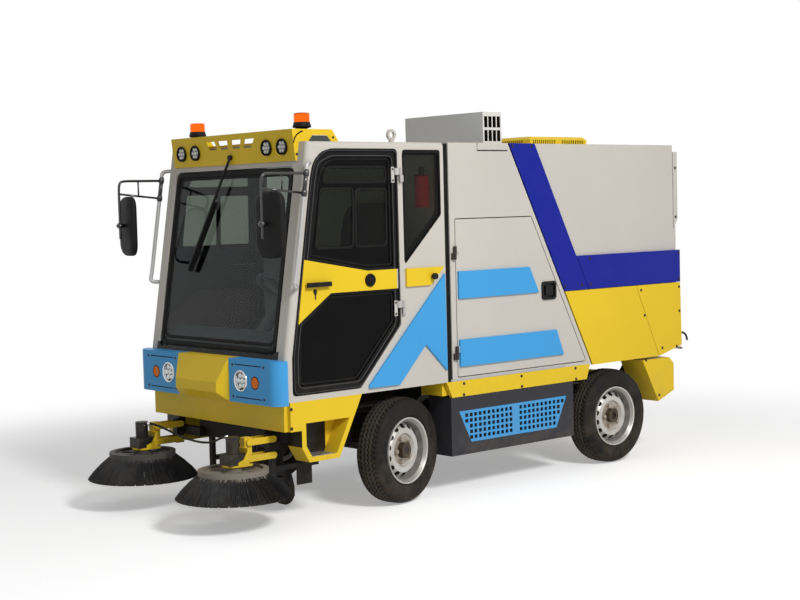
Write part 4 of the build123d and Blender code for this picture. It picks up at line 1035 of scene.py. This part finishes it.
def buildLocks(side, sign):
    body = "door_" + side
    x, y, z = lockSet["place"]
    near, far = lockSet["keyOut"]
    low, high = lockSet["bladeDrop"]
    lock = Vector((x, sign * y, z))
    out = Vector((0, sign, 0))
    meshPiece("doorLock_" + side, [lathe(lock, out, lockSet["profile"], 24)], "plastic", body, smooth=False)
    bow = lathe(lock + out * near - up * lockSet["bowDrop"], out, lockSet["bow"], 20)
    blade = sideBrick(sign, (x - lockSet["bladeHalf"], x + lockSet["bladeHalf"]), (y + near, y + far),
                      (z - low, z - high))
    meshPiece("doorKey_" + side, [bow, blade], "darkSteel", body, smooth=False)
    plates = [sideBrick(sign, hingeSet["x"], hingeSet["y"], z) for z in hingeSet["z"]]
    marks = [((hingeSet["screwX"], sign * hingeSet["y"][1], foot + (top - foot) * share), out,
              hingeSet["screwSize"])
             for foot, top in hingeSet["z"] for share in hingeSet["screwShares"]]
    meshPiece("hingePlates_" + side, plates, "rim_rear_left", body, smooth=False)
    repeat("hingeScrews_" + side, screwShape(), marks, "darkSteel", body)


def buildRosettes(side, sign):
    middle = mirrored(rosetteSet["place"], sign)
    out = Vector((0, sign, 0))
    meshPiece("bandRosette_" + side, [lathe(middle, out, rosetteSet["profile"], 40)], "plastic",
              "door_" + side)
    marks = [(middle + Vector((c, 0, s)) * rosetteSet["nubRing"], out, (1, 1, 1))
             for c, s in circle(rosetteSet["nubs"])]
    repeat("rosetteNubs_" + side, domeShape(*rosetteSet["nub"], 12, 3), marks, "plastic", "door_" + side)


# Step plates with raised bumps, turned by a quarter from one to the next
treadSet = {
    "x": (1.152, 1.310), "y": (0.566, 0.676), "z": (0.3665, 0.3690), "pitch": 0.022, "margin": 0.6,
    "bump": (0.006, 0.0022), "long": 1.5, "short": 0.6,
}


def buildTreads():
    plates = [sideBrick(sign, treadSet["x"], treadSet["y"], treadSet["z"]) for sign in (1, -1)]
    meshPiece("stepPlates", plates, "alloy", smooth=False)
    rows, columns = (int((high - low) / treadSet["pitch"]) for low, high in (treadSet["x"], treadSet["y"]))
    long, short = treadSet["long"], treadSet["short"]
    marks = []
    for i in range(rows):
        for j in range(columns):
            x = treadSet["x"][0] + (i + treadSet["margin"]) * treadSet["pitch"]
            y = treadSet["y"][0] + (j + treadSet["margin"]) * treadSet["pitch"]
            size = (long, short, 1) if (i + j) % 2 else (short, long, 1)
            marks.extend(((x, sign * y, treadSet["z"][1]), up, size) for sign in (1, -1))
    repeat("stepBumps", domeShape(*treadSet["bump"], 8, 2), marks, "alloy")


# Mirrors: grab rails, tube arms with clamps, domed heads and their glass
# Each point of a rail: height at which it meets the raked front, X ahead of that, Y and Z
mirrorSet = {
    "x": 1.641, "y": 0.725, "z": 1.655, "halfWidth": 0.103, "halfHeight": 0.179, "round": 0.078,
    "lean": 0.15, "square": 0.989, "headBack": 0.029, "railGap": 0.020, "rail": 0.012, "arm": 0.0078,
    "strutZ": 1.82, "strutRise": 0.03, "strut": 0.0066, "post": (1.505, 1.8357), "postHeight": 0.0923,
    "postRadius": 0.0052, "sleeveZ": (1.948, 1.80), "sleeve": 0.0128, "clampZ": (1.928, 1.82),
    "knobZ": 1.66, "clamp": ((-0.016, 0.0135), (-0.013, 0.0168), (0.013, 0.0168), (0.016, 0.0135)),
    "knob": ((-0.022, 0.0), (-0.022, 0.008), (-0.014, 0.010), (-0.012, 0.017), (0.010, 0.017),
        (0.014, 0.011), (0.032, 0.011)),
    "railPath": ((1.985, -0.047, 0.684, 1.985), (1.985, -0.020, 0.715, 1.986),
        (1.985, 0.004, 0.725, 1.975), (1.930, 0.0, 0.725, 1.930), (1.800, 0.0, 0.725, 1.800),
        (1.500, 0.0, 0.725, 1.500), (1.365, 0.0, 0.725, 1.365), (1.310, 0.004, 0.725, 1.320),
        (1.310, -0.020, 0.715, 1.309), (1.310, -0.047, 0.684, 1.310)),
    "armPath": ((-0.10, 1.928), (-0.045, 1.928), (-0.008, 1.922), (0.0, 1.885), (0.0, 1.83), (0.0, 1.58)),
    "headRings": ((1.0, 0.040), (1.0, 0.027), (0.985, 0.020), (0.95, 0.0125), (0.88, 0.0065),
        (0.76, 0.003), (0.58, 0.0012), (0.34, 0.0003)),
    "paneRings": ((0.93, 0.0402), (0.905, 0.0414)),
}


def grabPoint(y, z):
    return Vector((screenPoint(0, z, 0).x + mirrorSet["railGap"], y, z))


def headLoop(sign, scale, depth):
    lean, square = mirrorSet["lean"], mirrorSet["square"]
    across, back = Vector((-lean, sign * square, 0)), Vector((-square, sign * -lean, 0))
    origin = Vector((mirrorSet["x"] - mirrorSet["headBack"], sign * mirrorSet["y"], mirrorSet["z"]))
    wide, tall = mirrorSet["halfWidth"] * scale, mirrorSet["halfHeight"] * scale
    corners = [origin + back * depth + across * a * wide + up * (b * tall)
               for a, b in ((-1, -1), (1, -1), (1, 1), (-1, 1))]
    return roundLoop(corners, mirrorSet["round"] * scale, 8)


def rod(start, along, length, radius, segments):
    return lathe(start, along, ((0.0, radius), (length, radius)), segments)


def buildMirrors():
    rails, arms, heads, panes = [], [], [], []
    x = mirrorSet["x"]
    for sign in (1, -1):
        y = sign * mirrorSet["y"]
        rail = [(grabPoint(0, height).x + shift, sign * off, z)
                for height, shift, off, z in mirrorSet["railPath"]]
        rails.append(hoseShape(smoothPath(rail, "railPath"), mirrorSet["rail"], 14))
        arm = [grabPoint(y, mirrorSet["clampZ"][0])]
        arm.extend((x + shift, y, z) for shift, z in mirrorSet["armPath"])
        arms.append(hoseShape(smoothPath(arm, "armPath"), mirrorSet["arm"], 12))
        foot = grabPoint(y, mirrorSet["strutZ"])
        strut = Vector((x - foot.x, 0, mirrorSet["strutRise"]))
        arms.append(rod(foot, strut, strut.length, mirrorSet["strut"], 12))
        post = Vector((mirrorSet["post"][0], y, mirrorSet["post"][1]))
        arms.append(rod(post, up, mirrorSet["postHeight"], mirrorSet["postRadius"], 10))
        top, low = (grabPoint(y, z) for z in mirrorSet["sleeveZ"])
        along = low - top
        arms.append(rod(top, along, along.length, mirrorSet["sleeve"], 20))
        arms.extend(lathe(grabPoint(y, z), along, mirrorSet["clamp"], 20) for z in mirrorSet["clampZ"])
        arms.append(lathe((x, y, mirrorSet["knobZ"]), -forward, mirrorSet["knob"], 20))
        heads.append(closedBands([headLoop(sign, *ring) for ring in mirrorSet["headRings"]]))
        panes.append(closedBands([headLoop(sign, *ring) for ring in mirrorSet["paneRings"]]))
    meshPiece("mirrorArms", arms, "arm", nodesReplaced=("mirrors",))
    meshPiece("mirrorRails", rails, "rail")
    meshPiece("mirrorHeads", heads, "plastic")
    meshPiece("mirrorGlass", panes, "mirror", smooth=False)


buildMotorCable()
buildMeshHoles()
buildBarSlots()
buildBarFoot()
buildGateLatch()
buildSillStrips()
for side, sign in sides:
    buildLocks(side, sign)
    buildRosettes(side, sign)
buildTreads()
buildPanelSlots()
buildMirrors()
print("treads, slots, mirrors and small fittings")

# Driver's seat: padded cushion and back with sewn channels, on a plain base
seatSet = {
    "steps": 26, "squareness": 5.0, "channels": (-0.42, 0.42), "channelDepth": 0.012, "channelWidth": 0.05,
    "sewnFrom": 0.2, "cushion": ((0.520, -0.010, 1.000), (0.960, 0.470, 1.122)),
    "back": ((0.515, 0.000, 1.105), (0.605, 0.460, 1.760)), "backLean": -0.137, "baseEdge": 0.012,
    "base": (((0.600, 0.060, 0.722), (0.860, 0.400, 0.760)),
        ((0.660, 0.130, 0.760), (0.800, 0.330, 0.940)), ((0.580, 0.040, 0.940), (0.900, 0.420, 1.006))),
}


def padShape(corners, lean, thin):
    low, high = Vector(corners[0]), Vector(corners[1])
    middle, half = (low + high) / 2, (high - low) / 2
    cube = bmesh.new()
    bmesh.ops.create_cube(cube, size=2.0)
    bmesh.ops.subdivide_edges(cube, edges=cube.edges, cuts=seatSet["steps"], use_grid_fill=True)
    power = seatSet["squareness"]
    for vert in cube.verts:
        spread = sum(abs(c) ** power for c in vert.co) ** (1 / power)
        point = vert.co / spread
        sew = sum(math.exp(-((point.y - line) / seatSet["channelWidth"]) ** 2)
                  for line in seatSet["channels"])
        if point[thin] > seatSet["sewnFrom"]:
            point[thin] -= sew * seatSet["channelDepth"] / half[thin]
        place = Vector(middle[k] + half[k] * point[k] for k in range(3))
        place.x += lean * (place.z - low.z)
        vert.co = place
    verts = [vert.co.copy() for vert in cube.verts]
    cube.verts.index_update()
    faces = [tuple(vert.index for vert in face.verts) for face in cube.faces]
    cube.free()
    return verts, faces


def buildSeat():
    cushion = meshPiece("seatCushion", [padShape(seatSet["cushion"], 0.0, 2)], "fabric",
                        nodesReplaced=("driver_seat",))
    rest = meshPiece("seatBack", [padShape(seatSet["back"], seatSet["backLean"], 0)], "fabric")
    base = meshPiece("seatBase", [brick(low, high) for low, high in seatSet["base"]], "plastic", smooth=False)
    bevel = base.modifiers.new("edge", "BEVEL")
    bevel.width = seatSet["baseEdge"]
    bevel.segments = 2


buildSeat()
print("seat")

# Floor, light and camera
stageSet = {
    "floorSize": 120.0, "floorColour": (0.97, 0.97, 0.97), "floorLift": 0.34, "floorRoughness": 0.9,
    "fadeFrom": 2.6, "fadeTo": 5.5, "skyLevel": 0.29, "aim": (0.0, 0.0, 1.0),
}
lightSet = {
    "key": {"level": 605.0, "place": (1.5, 8.0, 6.5), "size": 2.2},
    "fill": {"level": 10.0, "place": (10.0, 3.0, 6.0), "size": 6.0},
}
cameraSet = {
    "place": (6.384, 7.233, 1.739), "yaw": 48.788, "pitch": 3.5755, "roll": 1.449, "lens": 67.94,
    "sensor": 36.0, "reach": 200.0,
}


def seenWhite(tree):
    ray = addNode(tree, "ShaderNodeLightPath").outputs
    through = mathNode(tree, "MAXIMUM", ray["Is Camera Ray"], ray["Is Transmission Ray"])
    return mathNode(tree, "MAXIMUM", through, ray["Is Glossy Ray"])


def buildFloor():
    half = stageSet["floorSize"] / 2
    mesh = bpy.data.meshes.new("floor")
    mesh.from_pydata([(-half, -half, 0), (half, -half, 0), (half, half, 0), (-half, half, 0)], [],
                     [(0, 1, 2, 3)])
    floor = bpy.data.objects.new("floor", mesh)
    scene.collection.objects.link(floor)
    material, tree, shader = newMaterial("paleFloor")
    reach = vectorMath(tree, "LENGTH", objectPlace(tree))["Value"]
    fade = mapRange(tree, reach, stageSet["fadeFrom"], stageSet["fadeTo"], kind="SMOOTHSTEP")
    seen = seenWhite(tree)
    far = mathNode(tree, "MULTIPLY", fade, seen)
    lift = mathNode(tree, "MULTIPLY", fade, 1.0 - stageSet["floorLift"])
    glow = mathNode(tree, "ADD", lift, stageSet["floorLift"])
    fill(tree, shader, {"Base Color": mixColour(tree, far, toLinear(stageSet["floorColour"]),
                                                (0.0, 0.0, 0.0, 1.0)),
                        "Emission Color": (1, 1, 1, 1),
                        "Emission Strength": mathNode(tree, "MULTIPLY", seen, glow),
                        "Roughness": stageSet["floorRoughness"], "Specular IOR Level": 0.0})
    mesh.materials.append(material)


def buildWorld():
    world = bpy.data.worlds.new("studio")
    world.use_nodes = True
    scene.world = world
    tree = world.node_tree
    rise = mathNode(tree, "MULTIPLY", seenWhite(tree), 1.0 - stageSet["skyLevel"])
    fill(tree, tree.nodes["Background"].inputs, {"Color": (1, 1, 1, 1),
                                                 "Strength": mathNode(tree, "ADD", stageSet["skyLevel"],
                                                                      rise)})


def buildLight(name, level, place, size):
    data = bpy.data.lights.new(name, "AREA")
    data.energy = level
    data.shape = "DISK"
    data.size = size
    lamp = bpy.data.objects.new(name, data)
    scene.collection.objects.link(lamp)
    lamp.location = place
    aim = Vector(stageSet["aim"]) - Vector(place)
    lamp.rotation_euler = aim.to_track_quat("-Z", "Y").to_euler()


def buildCamera():
    yaw, pitch, roll = (math.radians(cameraSet[key]) for key in ("yaw", "pitch", "roll"))
    ahead = Vector((-math.cos(yaw) * math.cos(pitch), -math.sin(yaw) * math.cos(pitch), -math.sin(pitch)))
    level = ahead.cross(up).normalized()
    down = ahead.cross(level)
    right = level * math.cos(roll) + down * math.sin(roll)
    below = down * math.cos(roll) - level * math.sin(roll)
    data = bpy.data.cameras.new("photoView")
    data.sensor_width = cameraSet["sensor"]
    data.lens = cameraSet["lens"]
    data.clip_end = cameraSet["reach"]
    camera = bpy.data.objects.new("photoView", data)
    scene.collection.objects.link(camera)
    turn = Matrix((right, -below, -ahead)).transposed().to_4x4()
    camera.matrix_world = Matrix.Translation(Vector(cameraSet["place"])) @ turn
    scene.camera = camera


buildFloor()
buildWorld()
for name, values in lightSet.items():
    buildLight(name, **values)
buildCamera()
scene.view_settings.view_transform = "Standard"
print("stage, light and camera")
